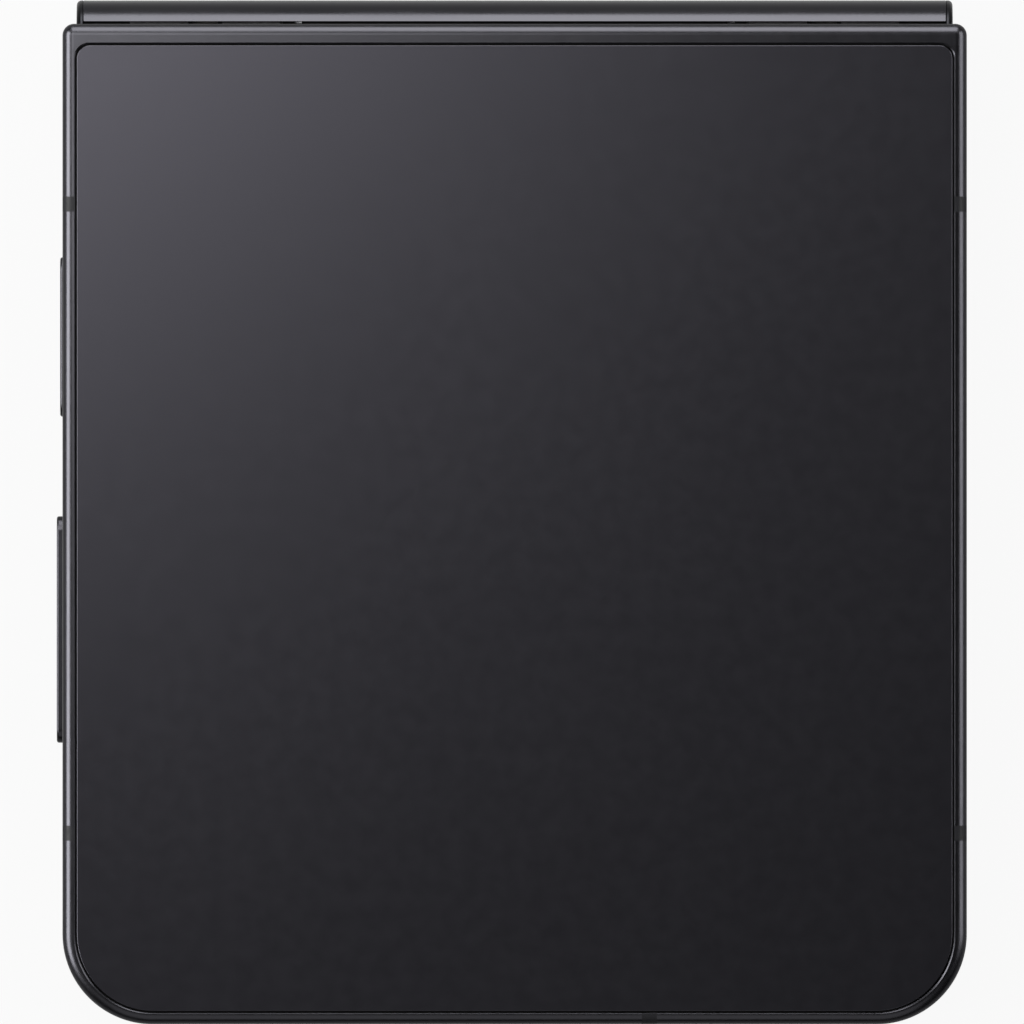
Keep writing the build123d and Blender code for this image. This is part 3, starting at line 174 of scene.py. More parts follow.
def floor_white():
    """White where it is seen, dim in reflections, and grey to the light that falls on it."""
    material = bpy.data.materials.new("floor_white")
    material.use_nodes = True
    tree = material.node_tree
    tree.nodes.clear()
    out = tree.nodes.new("ShaderNodeOutputMaterial")
    mix = tree.nodes.new("ShaderNodeMixShader")
    diffuse = tree.nodes.new("ShaderNodeBsdfDiffuse")
    white = tree.nodes.new("ShaderNodeEmission")
    diffuse.inputs["Color"].default_value = (FLOOR_GREY, FLOOR_GREY, FLOOR_GREY, 1)
    white.inputs["Color"].default_value = (1, 1, 1, 1)
    white.inputs["Strength"].default_value = 1.0
    tree.links.new(white_share(tree, FLOOR_REFLECTED, 0.0), mix.inputs[0])
    tree.links.new(diffuse.outputs[0], mix.inputs[1])
    tree.links.new(white.outputs[0], mix.inputs[2])
    tree.links.new(mix.outputs[0], out.inputs["Surface"])
    return material


def make_floor():
    """Plain white floor that keeps the phone's shadow."""
    deselect()
    bpy.ops.mesh.primitive_circle_add(radius=FLOOR_RADIUS, vertices=96, fill_type="NGON", location=(0, 0, 0))
    floor = bpy.context.object
    floor.name = "floor"
    floor.data.materials.append(floor_white())


make_camera()
light_scene()
make_floor()


# Finishes

def noise(material, scale, detail=3.0, stretch=(1, 1, 1)):
    """Noise on object coordinates; scale is in cells per metre."""
    tree = material.node_tree
    place = tree.nodes.new("ShaderNodeTexCoord")
    mapping = tree.nodes.new("ShaderNodeMapping")
    mapping.inputs["Scale"].default_value = stretch
    texture = tree.nodes.new("ShaderNodeTexNoise")
    texture.inputs["Scale"].default_value = scale
    texture.inputs["Detail"].default_value = detail
    tree.links.new(place.outputs["Object"], mapping.inputs["Vector"])
    tree.links.new(mapping.outputs["Vector"], texture.inputs["Vector"])
    return texture.outputs["Fac"]


def shader_socket(material, name):
    """Input of the material's shader."""
    return material.node_tree.nodes["Principled BSDF"].inputs[name]


def drift(material, source, low, high):
    """Roughness that drifts between two values."""
    tree = material.node_tree
    ramp = tree.nodes.new("ShaderNodeMapRange")
    ramp.inputs["From Min"].default_value = 0.3
    ramp.inputs["From Max"].default_value = 0.7
    ramp.inputs["To Min"].default_value = low
    ramp.inputs["To Max"].default_value = high
    tree.links.new(source, ramp.inputs["Value"])
    tree.links.new(ramp.outputs["Result"], shader_socket(material, "Roughness"))


def tint(material, source, low, high):
    """Base colour that drifts between two close tones."""
    tree = material.node_tree
    ramp = tree.nodes.new("ShaderNodeValToRGB")
    for element, position, colour in zip(ramp.color_ramp.elements, (0.3, 0.7), (low, high)):
        element.position = position
        element.color = (*colour, 1)
    tree.links.new(source, ramp.inputs["Fac"])
    tree.links.new(ramp.outputs["Color"], shader_socket(material, "Base Color"))


def grain(material, source, height, strength):
    """Fine surface relief; height in metres."""
    tree = material.node_tree
    bump = tree.nodes.new("ShaderNodeBump")
    bump.inputs["Distance"].default_value = height
    bump.inputs["Strength"].default_value = strength
    tree.links.new(source, bump.inputs["Height"])
    tree.links.new(bump.outputs["Normal"], shader_socket(material, "Normal"))


def bricks(material, scale, colours, turn=0.0, **sizes):
    """Base colour from a brick pattern on object coordinates: two bricks and what lies between them."""
    tree = material.node_tree
    place = tree.nodes.new("ShaderNodeTexCoord")
    mapping = tree.nodes.new("ShaderNodeMapping")
    mapping.inputs["Rotation"].default_value = (turn, 0, 0)
    pattern = tree.nodes.new("ShaderNodeTexBrick")
    pattern.inputs["Scale"].default_value = scale
    for socket, colour in zip(("Color1", "Color2", "Mortar"), colours):
        pattern.inputs[socket].default_value = (*colour, 1)
    for socket, value in sizes.items():
        pattern.inputs[socket.replace("_", " ")].default_value = value
    tree.links.new(place.outputs["Object"], mapping.inputs["Vector"])
    tree.links.new(mapping.outputs["Vector"], pattern.inputs["Vector"])
    tree.links.new(pattern.outputs["Color"], shader_socket(material, "Base Color"))


def finish(name, colour, roughness, metallic=0.0, rough=None, relief=None, **sockets):
    """Principled material with constant sockets. rough is the noise scale and the range of its roughness,
    relief the noise scale and detail, the height and the strength of its grain."""
    material = bpy.data.materials.new(name)
    material.use_nodes = True
    material.diffuse_color = (*colour, 1)
    constants = {"Base Color": (*colour, 1), "Roughness": roughness, "Metallic": metallic, **sockets}
    for socket, value in constants.items():
        shader_socket(material, socket.replace("_", " ")).default_value = value
    if rough:
        drift(material, noise(material, rough[0]), *rough[1:])
    if relief:
        grain(material, noise(material, *relief[:2]), *relief[2:])
    return material


def graphite_anodise():
    """Bead-blasted, dark anodised aluminium."""
    material = finish("graphite_anodise", (0.0357, 0.0353, 0.0396), 0.30, 1.0, (900, 0.28, 0.32),
                      (16000, 2, 4e-6, 0.12))
    tint(material, noise(material, 120), (0.0345, 0.034, 0.0383), (0.037, 0.0366, 0.0409))
    return material


def spine_anodise():
    """Polished version of the rims' finish, for the hinge's outer cover and the camera rings."""
    material = finish("spine_anodise", (0.0357, 0.0353, 0.0396), 0.22, 1.0)
    drift(material, noise(material, 500, stretch=(0.2, 1, 1)), 0.18, 0.25)
    grain(material, noise(material, 12000, 2, (0.05, 1, 1)), 2e-6, 0.08)
    return material


def painted_shade_anodise():
    """Spine end caps' anodise with painted shade: a base colour darker than the spine's own metal stands in for
    the shade on the caps.
    """
    return finish("painted_shade_anodise", (0.013, 0.013, 0.0145), 0.3, 1.0, (900, 0.27, 0.34))


def etched_back_glass():
    """Satin-etched glass over a dark graphite film."""
    material = finish("etched_back_glass", (0.001, 0.001, 0.0012), 0.32, 0.0, (700, 0.31, 0.33),
                      (22000, 2, 1.5e-6, 0.06), Specular_Tint=(0.88, 0.855, 1.0, 1))
    tint(material, noise(material, 60), (0.0008, 0.0008, 0.001), (0.0012, 0.0012, 0.0014))
    return material


def gloss_cover_glass():
    """Polished black glass of the outer display."""
    return finish("gloss_cover_glass", (0.006, 0.006, 0.007), 0.06, 0.0, (300, 0.05, 0.075),
                  Coat_Weight=0.5, Coat_Roughness=0.03)


def display_film():
    """Black folding display under its clear film."""
    return finish("display_film", (0.005, 0.005, 0.006), 0.1, 0.0, (250, 0.08, 0.12),
                  (180, 1, 6e-6, 0.15), Coat_Weight=0.6, Coat_Roughness=0.05)


def band_polymer():
    """Moulded polymer of the antenna bands."""
    return finish("band_polymer", (0.006, 0.006, 0.007), 0.45, 0.0, (2500, 0.42, 0.5),
                  (14000, 2, 4e-6, 0.15), Specular_IOR_Level=0.13)


def bezel_polymer():
    """Soft matt black edge round the inner display."""
    return finish("bezel_polymer", (0.011, 0.011, 0.012), 0.5, 0.0, (1800, 0.44, 0.56),
                  (15000, 2, 6e-6, 0.25))


def moulded_black():
    """Black moulded plastic of the inner modules."""
    return finish("moulded_black", (0.022, 0.022, 0.024), 0.55, 0.0, (1500, 0.48, 0.62),
                  (9000, 3, 1e-5, 0.3))


def soft_rubber():
    """Small rubber pads."""
    return finish("soft_rubber", (0.02, 0.02, 0.021), 0.8, relief=(8000, 3, 1e-5, 0.4), Sheen_Weight=0.15)


def stainless(name, colour, roughness, stretch):
    """Brushed or sintered steel."""
    material = finish(name, colour, roughness, 1.0)
    drift(material, noise(material, 3000, 4, stretch), roughness - 0.07, roughness + 0.08)
    tint(material, noise(material, 400), tuple(0.92 * c for c in colour), colour)
    grain(material, noise(material, 9000, 3, stretch), 5e-6, 0.25)
    return material


def solder_mask():
    """Dark green board with fine copper tracks under the mask."""
    material = finish("solder_mask", (0.01, 0.05, 0.03), 0.35)
    bricks(material, 900, ((0.008, 0.045, 0.027), (0.012, 0.06, 0.035), (0.03, 0.11, 0.06)))
    return material


def foil_pouch():
    """Dark laminated foil of the battery cells."""
    return finish("foil_pouch", (0.05, 0.05, 0.055), 0.4, 0.6, (350, 0.32, 0.5), (500, 4, 4e-5, 0.3))


def enamelled_copper():
    """Copper winding with its lacquer."""
    material = finish("enamelled_copper", (0.5, 0.2, 0.09), 0.3, 1.0, Coat_Weight=0.4, Coat_Roughness=0.2)
    drift(material, noise(material, 2500, 2), 0.25, 0.38)
    return material


def coated_lens():
    """Camera glass with a faint blue-violet coating."""
    return finish("coated_lens", (0.004, 0.004, 0.007), 0.03, 0.0, (900, 0.02, 0.04),
                  Coat_Weight=1.0, Coat_Roughness=0.02, Coat_Tint=(0.75, 0.8, 1.0, 1))


def flash_phosphor():
    """Pale yellow phosphor behind a clear lens."""
    material = finish("flash_phosphor", (0.42, 0.37, 0.2), 0.25, Coat_Weight=1.0, Coat_Roughness=0.05)
    tint(material, noise(material, 1500), (0.38, 0.33, 0.16), (0.46, 0.42, 0.25))
    return material


def nickel_plate():
    """Nickel plating of the magnets."""
    return finish("nickel_plate", (0.5, 0.5, 0.51), 0.2, 1.0, (700, 0.15, 0.28))


def seal_black_and_painted_shade():
    """Dead black seals round the glasses and in the hinge. Round the glasses this black is partly the seal's own
    colour and partly painted shade: it is darker and less reflective than rubber, so the gap reads as shaded.
    """
    return finish("seal_black_and_painted_shade", (0.003, 0.003, 0.003), 0.9, 0.0, (4000, 0.85, 0.95), Specular_IOR_Level=0.1)


def blackened_barrel():
    """Blackened, finely turned metal inside the cameras."""
    return finish("blackened_barrel", (0.008, 0.008, 0.009), 0.35, 0.5, (5000, 0.3, 0.42))


def gold_contact():
    """Gold plating of the charging port's contacts."""
    return finish("gold_contact", (0.75, 0.52, 0.2), 0.25, 1.0, (2500, 0.2, 0.32))


def woven_mesh():
    """Fine blackened wire mesh, woven in the plane of the free ends."""
    material = finish("woven_mesh", (0.03, 0.03, 0.032), 0.45, 0.8)
    bricks(material, 1000, ((0.002, 0.002, 0.002), (0.003, 0.003, 0.003), (0.12, 0.12, 0.125)),
           turn=math.pi / 2, Mortar_Size=0.06, Brick_Width=0.14, Row_Height=0.14)
    return material


spine_metal = spine_anodise()
# end-cap metal: painted shade, a darker copy of the spine's anodise
cap_painted_shade_metal = painted_shade_anodise()
cover_finish = gloss_cover_glass()
plastic = moulded_black()
lens_coat = coated_lens()
lens_black = blackened_barrel()
# seal finish: partly painted shade, darker and less reflective than rubber
seal = seal_black_and_painted_shade()
gold = gold_contact()
mesh_steel = woven_mesh()

slot_finish = {
    "graphite_metal": graphite_anodise(),
    "band_plastic": band_polymer(),
    "back_glass": etched_back_glass(),
    "black_glass": cover_finish,
    "display": display_film(),
    "bezel": bezel_polymer(),
    "steel": stainless("stainless_steel", (0.42, 0.42, 0.43), 0.32, (1, 6, 6)),
    "gear_steel": stainless("sintered_steel", (0.36, 0.35, 0.33), 0.45, (1, 1, 1)),
    "board": solder_mask(),
    "battery": foil_pouch(),
    "copper": enamelled_copper(),
    "black_plastic": plastic,
    "lens_glass": lens_coat,
    "flash": flash_phosphor(),
    "rubber": soft_rubber(),
    "magnet": nickel_plate(),
}
node_slot = {s["node"]: s["material_slot"] for s in frame["record"]["subparts"]}
node_body = {n: b for b, nodes in frame["record"]["behaviour"]["bodies"].items() for n in nodes}
for node, cad_object in frame["nodes"].items():
    cad_object.data.materials.clear()
    cad_object.data.materials.append(slot_finish[node_slot[node]])


# Modelling helpers

FLAT_ANGLE = 1e-3
LONG_EDGE = 0.9
FULL_ROUND = 0.999


def activate(piece):
    """Only this piece selected and active."""
    deselect()
    piece.select_set(True)
    bpy.context.view_layer.objects.active = piece


def settle(piece):
    """Place, turn and size moved into the mesh."""
    activate(piece)
    bpy.ops.object.transform_apply(location=True, rotation=True, scale=True)


def smooth(piece, degrees):
    """Smooth shading up to an angle, with the large faces kept flat."""
    activate(piece)
    bpy.ops.object.shade_smooth_by_angle(angle=math.radians(degrees))
    flat = piece.modifiers.new("large_faces_flat", "WEIGHTED_NORMAL")
    flat.weight = 100
    flat.keep_sharp = True
    bpy.ops.object.modifier_apply(modifier=flat.name)


def painted(piece, node, material=None):
    """Piece takes its slot and finish from a CAD node."""
    slot = node_slot[node]
    piece.data.materials.clear()
    piece.data.materials.append(material or slot_finish[slot])
    return piece


def belongs(piece, node, material=None):
    """Piece takes its slot and finish from a CAD node and rides with it."""
    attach(painted(piece, node, material), node_body[node])
    return piece


def stands_for(piece, node, degrees=30, material=None):
    """Finished piece that takes the place, slot, finish and body of a CAD node."""
    smooth(piece, degrees)
    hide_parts(node)
    return belongs(piece, node, material)


def slab(name, low, high):
    """Box between two corners, as the start of a piece."""
    deselect()
    low, high = Vector(low), Vector(high)
    bpy.ops.mesh.primitive_cube_add(size=1, location=(low + high) / 2)
    piece = bpy.context.object
    piece.name = name
    piece.scale = high - low
    settle(piece)
    return piece


def select_edges(piece, wanted):
    """Edit mode with the edges selected whose ends pass the test and whose faces meet at an angle."""
    activate(piece)
    bpy.ops.object.mode_set(mode="EDIT")
    bpy.ops.mesh.select_mode(type="EDGE")
    bpy.ops.mesh.select_all(action="DESELECT")
    mesh = bmesh.from_edit_mesh(piece.data)
    for edge in mesh.edges:
        edge.select_set(wanted(edge.verts[0].co, edge.verts[1].co) and edge.calc_face_angle(1) > FLAT_ANGLE)
    bmesh.update_edit_mesh(piece.data)


def round_edges(piece, wanted, radius, segments):
    """Bevels the edges whose ends pass the test."""
    select_edges(piece, wanted)
    bpy.ops.mesh.bevel(offset=radius, segments=segments, affect="EDGES", clamp_overlap=False)
    bpy.ops.object.mode_set(mode="OBJECT")


def upright(a, b):
    """True for an edge along Z."""
    return abs(a.x - b.x) < SAME and abs(a.y - b.y) < SAME and abs(a.z - b.z) > SEAM


def on_plane(value, axis=2):
    """Test for edges that lie at one value of an axis."""
    return lambda a, b: abs(a[axis] - value) < SAME and abs(b[axis] - value) < SAME


# Places inside one half, by depth below its bezel plane

BASE = 1
COVER = -1
half_x = base_high.x
free_y = base_low.y
hinge_y = base_high.y
thickness = base_high.z - base_low.z
spine_low, spine_high = node_box("spine_cover")
cap_low, cap_high = node_box("spine_end_caps")
glass_low, glass_high = node_box("back_glass")
bezel_low, bezel_high = node_box("base_bezel")
display_low, display_high = node_box("inner_display_base")
glass_seat = thickness - (glass_high.z - glass_low.z)
axis_y = base_axis.y
axis_half_gap = base_axis.z - mid_z
fold_line_y = hinge_y + 0.1 * MM

PAST = 1.0 * MM
OPEN_END = 5.0 * MM
SINK = 0.1 * MM
FREE_CORNER = 7.5 * MM
HINGE_CORNER = 0.97 * MM
BACK_ROUND = 0.95 * MM
FRONT_BEVEL = 0.4 * MM
NOSE_ROUND = 1.7 * MM
NOSE_PAST = 0.02 * MM
NOSE_LEAD = 0.2 * MM
GLASS_GAP = 0.13 * MM
GLASS_LIP = 0.1 * MM
GLASS_CORNER = 6.4 * MM
GLASS_HINGE_CORNER = 1.1 * MM
GLASS_EDGE = 0.08 * MM
WALL_SIDE = 2.3 * MM
WALL_END = 1.7 * MM
POCKET_LENGTH = 6.2 * MM
POCKET_DEPTH = 5.65 * MM
BULKHEAD = 0.8 * MM
SPACE_CORNER = 3.0 * MM
SPACE_HINGE_CORNER = 1.0 * MM
SHELF_OVERLAP = 2.0 * MM
BRACKET_INSET = 0.4 * MM
SHELF_END = 13.3 * MM
SHELF_STEP = 12.5 * MM
SHELF_DEPTH = 2.25 * MM
SHELF_THICKNESS = 0.95 * MM
BEZEL_SEAT = 0.5 * MM
BEZEL_CORNER = 6.8 * MM
BEZEL_PLAY = 0.02 * MM
DISPLAY_CORNER = 3.0 * MM
DISPLAY_PLAY = 0.2 * MM
PLATE_DEPTH = 1.2 * MM
MID_PLATE_BACK = 1.9 * MM
SPINE_PLAY = 0.15 * MM
BAND_WIDTH = 1.25 * MM
BAND_DEPTH = 1.05 * MM
BAND_DEPTH_END = 0.9 * MM
BAND_PLACES = (25.6 * MM, -26.7 * MM)
END_BAND_X = 11.2 * MM
KEY_DEPTH = thickness / 2
TRAY_DEPTH = 3.95 * MM
SELFIE_Y = -37.0 * MM


def level(side, depth):
    """Height of the plane that lies depth below one half's bezel plane."""
    return mid_z + side * (closed_gap / 2 + depth)


def depth_slab(name, side, low, high, depth_a, depth_b):
    """Box in one half between two plan corners and two depths."""
    z0, z1 = sorted((level(side, depth_a), level(side, depth_b)))
    return slab(name, (low[0], low[1], z0), (high[0], high[1], z1))


def plan_slab(name, side, reach_x, y0, y1, depth_a, depth_b, free_corner=0.0, hinge_corner=0.0,
              segments=24):
    """Slab of one half with rounded plan corners."""
    piece = depth_slab(name, side, (-reach_x, y0), (reach_x, y1), depth_a, depth_b)
    middle = (y0 + y1) / 2
    if free_corner:
        round_edges(piece, lambda a, b: upright(a, b) and a.y < middle, free_corner, segments)
    if hinge_corner:
        round_edges(piece, lambda a, b: upright(a, b) and a.y > middle, hinge_corner, 12)
    return piece


def glass_outline(name, side, play, depth_a, depth_b):
    """Slab with the plan outline of a glass, wider all round by some play."""
    return plan_slab(name, side, glass_high.x + play, glass_low.y - play, glass_high.y + play,
                     depth_a, depth_b, GLASS_CORNER + play, GLASS_HINGE_CORNER + play)


def rod(name, axis, centre, radius, reach, sides=48):
    """Round bar along an axis."""
    deselect()
    turn = ((0, math.pi / 2, 0), (math.pi / 2, 0, 0), (0, 0, 0))[axis]
    bpy.ops.mesh.primitive_cylinder_add(vertices=sides, radius=radius, depth=reach,
                                        location=centre, rotation=turn)
    piece = bpy.context.object
    piece.name = name
    settle(piece)
    return piece


def long_slot(name, axis, centre, length, height, reach, segments=14):
    """Bar along X or Y with a long round-ended section; its height lies along Z."""
    half = Vector((reach, length, height)) / 2 if axis == 0 else Vector((length, reach, height)) / 2
    piece = slab(name, Vector(centre) - half, Vector(centre) + half)
    round_edges(piece, lambda a, b: abs(a[axis] - b[axis]) > LONG_EDGE * reach, FULL_ROUND * height / 2,
                segments)
    return piece


def combine(piece, tool, operation="DIFFERENCE"):
    """Exact boolean with a tool that is used up."""
    activate(piece)
    step = piece.modifiers.new("step", "BOOLEAN")
    step.operation = operation
    step.solver = "EXACT"
    step.object = tool
    bpy.ops.object.modifier_apply(modifier=step.name)
    bpy.data.objects.remove(tool, do_unlink=True)


def copy_of(piece, name):
    """Copy of a piece with a mesh of its own."""
    twin = bpy.data.objects.new(name, piece.data.copy())
    bpy.context.collection.objects.link(twin)
    return twin


def merge(pieces, name):
    """Several meshes as one piece."""
    activate(pieces[0])
    for piece in pieces[1:]:
        piece.select_set(True)
    if len(pieces) > 1:
        bpy.ops.object.join()
    pieces[0].name = name
    return pieces[0]


# Rims of both halves

def half_shell(side, name):
    """Outer form of one half: rounded back edge, softened front edge and a nose about the fold axis."""
    piece = plan_slab(name, side, half_x, free_y, hinge_y, 0, thickness, FREE_CORNER, HINGE_CORNER, 32)
    round_edges(piece, on_plane(level(side, thickness)), BACK_ROUND, 12)
    round_edges(piece, on_plane(level(side, 0)), FRONT_BEVEL, 4)
    nose = depth_slab("nose", side, (-half_x - PAST, free_y - PAST), (half_x + PAST, hinge_y + NOSE_PAST),
                      -NOSE_LEAD, thickness + PAST)
    front = on_plane(level(side, -NOSE_LEAD))
    round_edges(nose, lambda a, b: front(a, b) and min(a.y, b.y) > hinge_y, NOSE_ROUND, 14)
    combine(piece, nose, "INTERSECT")
    return piece


def band_blocks(side):
    """Blocks that take the antenna bands out of one half's rim."""
    blocks = []
    for y in BAND_PLACES:
        for side_x in SIDES:
            x0, x1 = sorted((side_x * (half_x - BAND_DEPTH), side_x * (half_x + PAST)))
            blocks.append(depth_slab("band_block", side, (x0, y - BAND_WIDTH / 2), (x1, y + BAND_WIDTH / 2),
                                     -PAST, thickness + PAST))
    blocks.append(depth_slab("band_block", side, (END_BAND_X - BAND_WIDTH / 2, free_y - PAST),
                             (END_BAND_X + BAND_WIDTH / 2, free_y + BAND_DEPTH_END),
                             -PAST, thickness + PAST))
    return merge(blocks, "band_blocks")


def front_seat(side):
    """Recess that the bezel lies in."""
    return plan_slab("front_seat", side, bezel_high.x + BEZEL_PLAY, bezel_low.y - BEZEL_PLAY,
                     hinge_y + OPEN_END, -PAST, BEZEL_SEAT, BEZEL_CORNER)


def glass_lip(side):
    """Flared tool that chamfers the edge of the rim towards the glass."""
    reach_y = (glass_high.y - glass_low.y) / 2 + GLASS_GAP
    reach_x = glass_high.x + GLASS_GAP
    tool = glass_outline("glass_lip", side, GLASS_GAP, thickness - GLASS_LIP, thickness + GLASS_LIP)
    outer_z = level(side, thickness + GLASS_LIP)
    flare = 2 * GLASS_LIP
    select_edges(tool, on_plane(outer_z))
    bpy.ops.transform.resize(value=((reach_x + flare) / reach_x, (reach_y + flare) / reach_y, 1),
                             center_override=(0, (glass_low.y + glass_high.y) / 2, outer_z))
    bpy.ops.object.mode_set(mode="OBJECT")
    return tool


def hollow(piece, side):
    """Glass seat, inner spaces, spine pocket and the seats of the bezel and display in one half."""
    inner_x = half_x - WALL_SIDE
    combine(piece, glass_outline("glass_seat", side, GLASS_GAP, glass_seat, thickness + PAST))
    combine(piece, glass_lip(side))
    combine(piece, plan_slab("inner_space", side, inner_x, free_y + WALL_END, fold_line_y - SHELF_END,
                             MID_PLATE_BACK, glass_seat + SINK, SPACE_CORNER, SPACE_HINGE_CORNER))
    combine(piece, plan_slab("shelf_space", side, inner_x, fold_line_y - SHELF_END - SHELF_OVERLAP,
                             fold_line_y - POCKET_LENGTH - BULKHEAD, SHELF_DEPTH + SHELF_THICKNESS,
                             glass_seat + SINK))
    combine(piece, plan_slab("spine_pocket", side, cap_high.x + SPINE_PLAY, fold_line_y - POCKET_LENGTH,
                             hinge_y + PAST, -PAST, POCKET_DEPTH))
    combine(piece, front_seat(side))
    combine(piece, plan_slab("display_seat", side, display_high.x + DISPLAY_PLAY,
                             display_low.y - DISPLAY_PLAY, hinge_y + OPEN_END, BEZEL_SEAT - SINK, PLATE_DEPTH,
                             DISPLAY_CORNER + DISPLAY_PLAY))
    combine(piece, depth_slab("bracket_seat", side, (-inner_x + BRACKET_INSET, fold_line_y - SHELF_STEP),
                              (inner_x - BRACKET_INSET, hinge_y), PLATE_DEPTH - SINK, SHELF_DEPTH))


def half_frame(side, node, name, bands_node, bands_name, openings):
    """Rim of one half with its openings, and the band inserts that fill its gaps."""
    shell = half_shell(side, name)
    inserts = copy_of(shell, bands_name)
    combine(inserts, band_blocks(side), "INTERSECT")
    combine(inserts, front_seat(side))
    hollow(shell, side)
    combine(shell, band_blocks(side))
    for tool in openings:
        combine(shell, tool)
    stands_for(shell, node)
    stands_for(inserts, bands_node)


# Openings of the rims

USB_WIDTH = 8.94 * MM
USB_HEIGHT = 3.16 * MM
USB_PLAY = 0.05 * MM
USB_POCKET = (4.87 * MM, 1.65 * MM)
USB_BACK_PLAY = 0.3 * MM
SPEAKER_PLACES = [22.0 * MM + n * 2.9 * MM for n in range(-2, 3)]
SPEAKER_SLOT = (2.2 * MM, 1.2 * MM)
MIC_X = -9.5 * MM
MIC_RADIUS = 0.5 * MM
END_REACH = 3.6 * MM
KEY_FLANGE = 0.4 * MM
KEY_HEIGHT = 2.4 * MM
KEY_PLAY = 0.1 * MM
KEY_SEAT = 1.25 * MM
KEY_POCKET = 1.2 * MM
TRAY_DOOR = (12.0 * MM, 2.2 * MM)
DOOR_PLAY = 0.08 * MM
DOOR_TUNNEL = 7.0 * MM
SELFIE_HOLE = 1.9 * MM
SELFIE_REACH = 2.2 * MM
usb_low, usb_high = node_box("usb_port")
tray_low, tray_high = node_box("sim_tray")
power_low, power_high = node_box("power_key")
volume_low, volume_high = node_box("volume_key")
tray_y = (tray_low.y + tray_high.y) / 2


def mic_hole(side):
    """Tool for the microphone hole in one half's free end."""
    return rod("mic_hole", 1, (MIC_X, free_y, level(side, thickness / 2)), MIC_RADIUS, END_REACH, 24)


def base_openings():
    """Tools for the charging port, loudspeaker slots and microphone hole in the base half's free end."""
    z = level(BASE, thickness / 2)
    port_x, port_depth = USB_POCKET
    tools = [long_slot("port_opening", 1, (0, free_y, z), USB_WIDTH + 2 * USB_PLAY,
                       USB_HEIGHT + 2 * USB_PLAY, END_REACH),
             depth_slab("port_pocket", BASE, (-port_x, free_y + WALL_END - USB_PLAY),
                        (port_x, usb_high.y + USB_BACK_PLAY), port_depth, glass_seat - SINK),
             mic_hole(BASE)]
    tools += [long_slot("speaker_slot", 1, (x, free_y, z), *SPEAKER_SLOT, END_REACH, 8)
              for x in SPEAKER_PLACES]
    return tools


def key_tools(low, high):
    """Opening for a key's cap and the wider pocket for its flange."""
    y = (low.y + high.y) / 2
    length = high.y - low.y - 2 * KEY_FLANGE
    z = level(COVER, KEY_DEPTH)
    seat_x = -half_x + KEY_SEAT
    return [long_slot("key_opening", 0, (-half_x, y, z), length + 2 * KEY_PLAY, KEY_HEIGHT + 2 * KEY_PLAY,
                      2 * (KEY_SEAT + KEY_PLAY)),
            long_slot("key_pocket", 0, (seat_x + KEY_POCKET / 2, y, z), length + KEY_POCKET,
                      KEY_HEIGHT + KEY_POCKET, KEY_POCKET)]


def cover_openings():
    """Tools for the keys, card tray, microphone and selfie camera in the cover half."""
    return [*key_tools(power_low, power_high), *key_tools(volume_low, volume_high),
            long_slot("door_opening", 0, (half_x, tray_y, level(COVER, TRAY_DEPTH)),
                      TRAY_DOOR[0] + 2 * DOOR_PLAY, TRAY_DOOR[1] + 2 * DOOR_PLAY, DOOR_TUNNEL),
            mic_hole(COVER),
            rod("selfie_hole", 2, (0, SELFIE_Y, level(COVER, 1.0 * MM)), SELFIE_HOLE, SELFIE_REACH)]


half_frame(BASE, "base_frame", "base_frame_rim", "base_antenna_bands", "base_band_inserts",
           base_openings())
half_frame(COVER, "cover_frame", "cover_frame_rim", "cover_antenna_bands", "cover_band_inserts",
           cover_openings())


# Glasses

GASKET_DEPTH = 0.3 * MM
GASKET_FILL = 0.98 * GLASS_GAP


def gasket(side, name, node):
    """Black seal that fills the gap round a glass, below its edge. Its dead black is partly painted shade for the
    gap.
    """
    ring = glass_outline(name, side, GASKET_FILL, glass_seat, thickness - GASKET_DEPTH)
    combine(ring, plan_slab("glass_place", side, glass_high.x + SEAM, glass_low.y - SEAM, glass_high.y + SEAM,
                            glass_seat - PAST, thickness, GLASS_CORNER, GLASS_HINGE_CORNER))
    smooth(ring, 30)
    belongs(ring, node, seal)


def glass_sheet(side, name, node, holes=()):
    """Glass of one half with rounded corners, its holes and a softened outer edge."""
    sheet = glass_outline(name, side, 0.0, glass_seat, thickness)
    for hole in holes:
        combine(sheet, hole)
    round_edges(sheet, on_plane(level(side, thickness)), GLASS_EDGE, 4)
    stands_for(sheet, node, 40)


glass_sheet(BASE, "back_glass_panel", "back_glass")
gasket(BASE, "back_glass_seal", "base_frame")


# Spine

SPINE_WALL = 0.6 * MM
SPINE_LEG_CUT = 0.375 * MM
SPINE_SEAM = 0.12 * MM
CAVITY_PAST = 0.5 * MM
CAP_ROUND = 0.4 * MM
SEAL_RISE = 2.2 * MM
SEAL_THICKNESS = 0.3 * MM
SEAL_ROUND = 0.1 * MM
SEAL_REACH = (-0.2 * MM, 0.68 * MM)
SEAL_SPANS = ((-17.7, 17.7), (18.3, 19.3), (24.15, 24.7), (26.8, 27.15), (31.75, 35.94))


def spine_bar(name, x0, x1, low_y, inset=0.0):
    """Stretch of the spine's section: two wide rounds towards the outside."""
    half_height = (spine_high.z - spine_low.z) / 2 - inset
    face_y = spine_high.y - inset
    piece = slab(name, (x0, axis_y - PAST, mid_z - half_height), (x1, face_y, mid_z + half_height))
    round_edges(piece, lambda a, b: abs(a.x - b.x) > LONG_EDGE * (x1 - x0) and min(a.y, b.y) > face_y - SAME,
                face_y - axis_y, 28)
    activate(piece)
    bpy.ops.object.mode_set(mode="EDIT")
    bpy.ops.mesh.select_all(action="SELECT")
    bpy.ops.mesh.bisect(plane_co=(0, low_y, 0), plane_no=(0, 1, 0), use_fill=True, clear_inner=True)
    bpy.ops.object.mode_set(mode="OBJECT")
    return piece


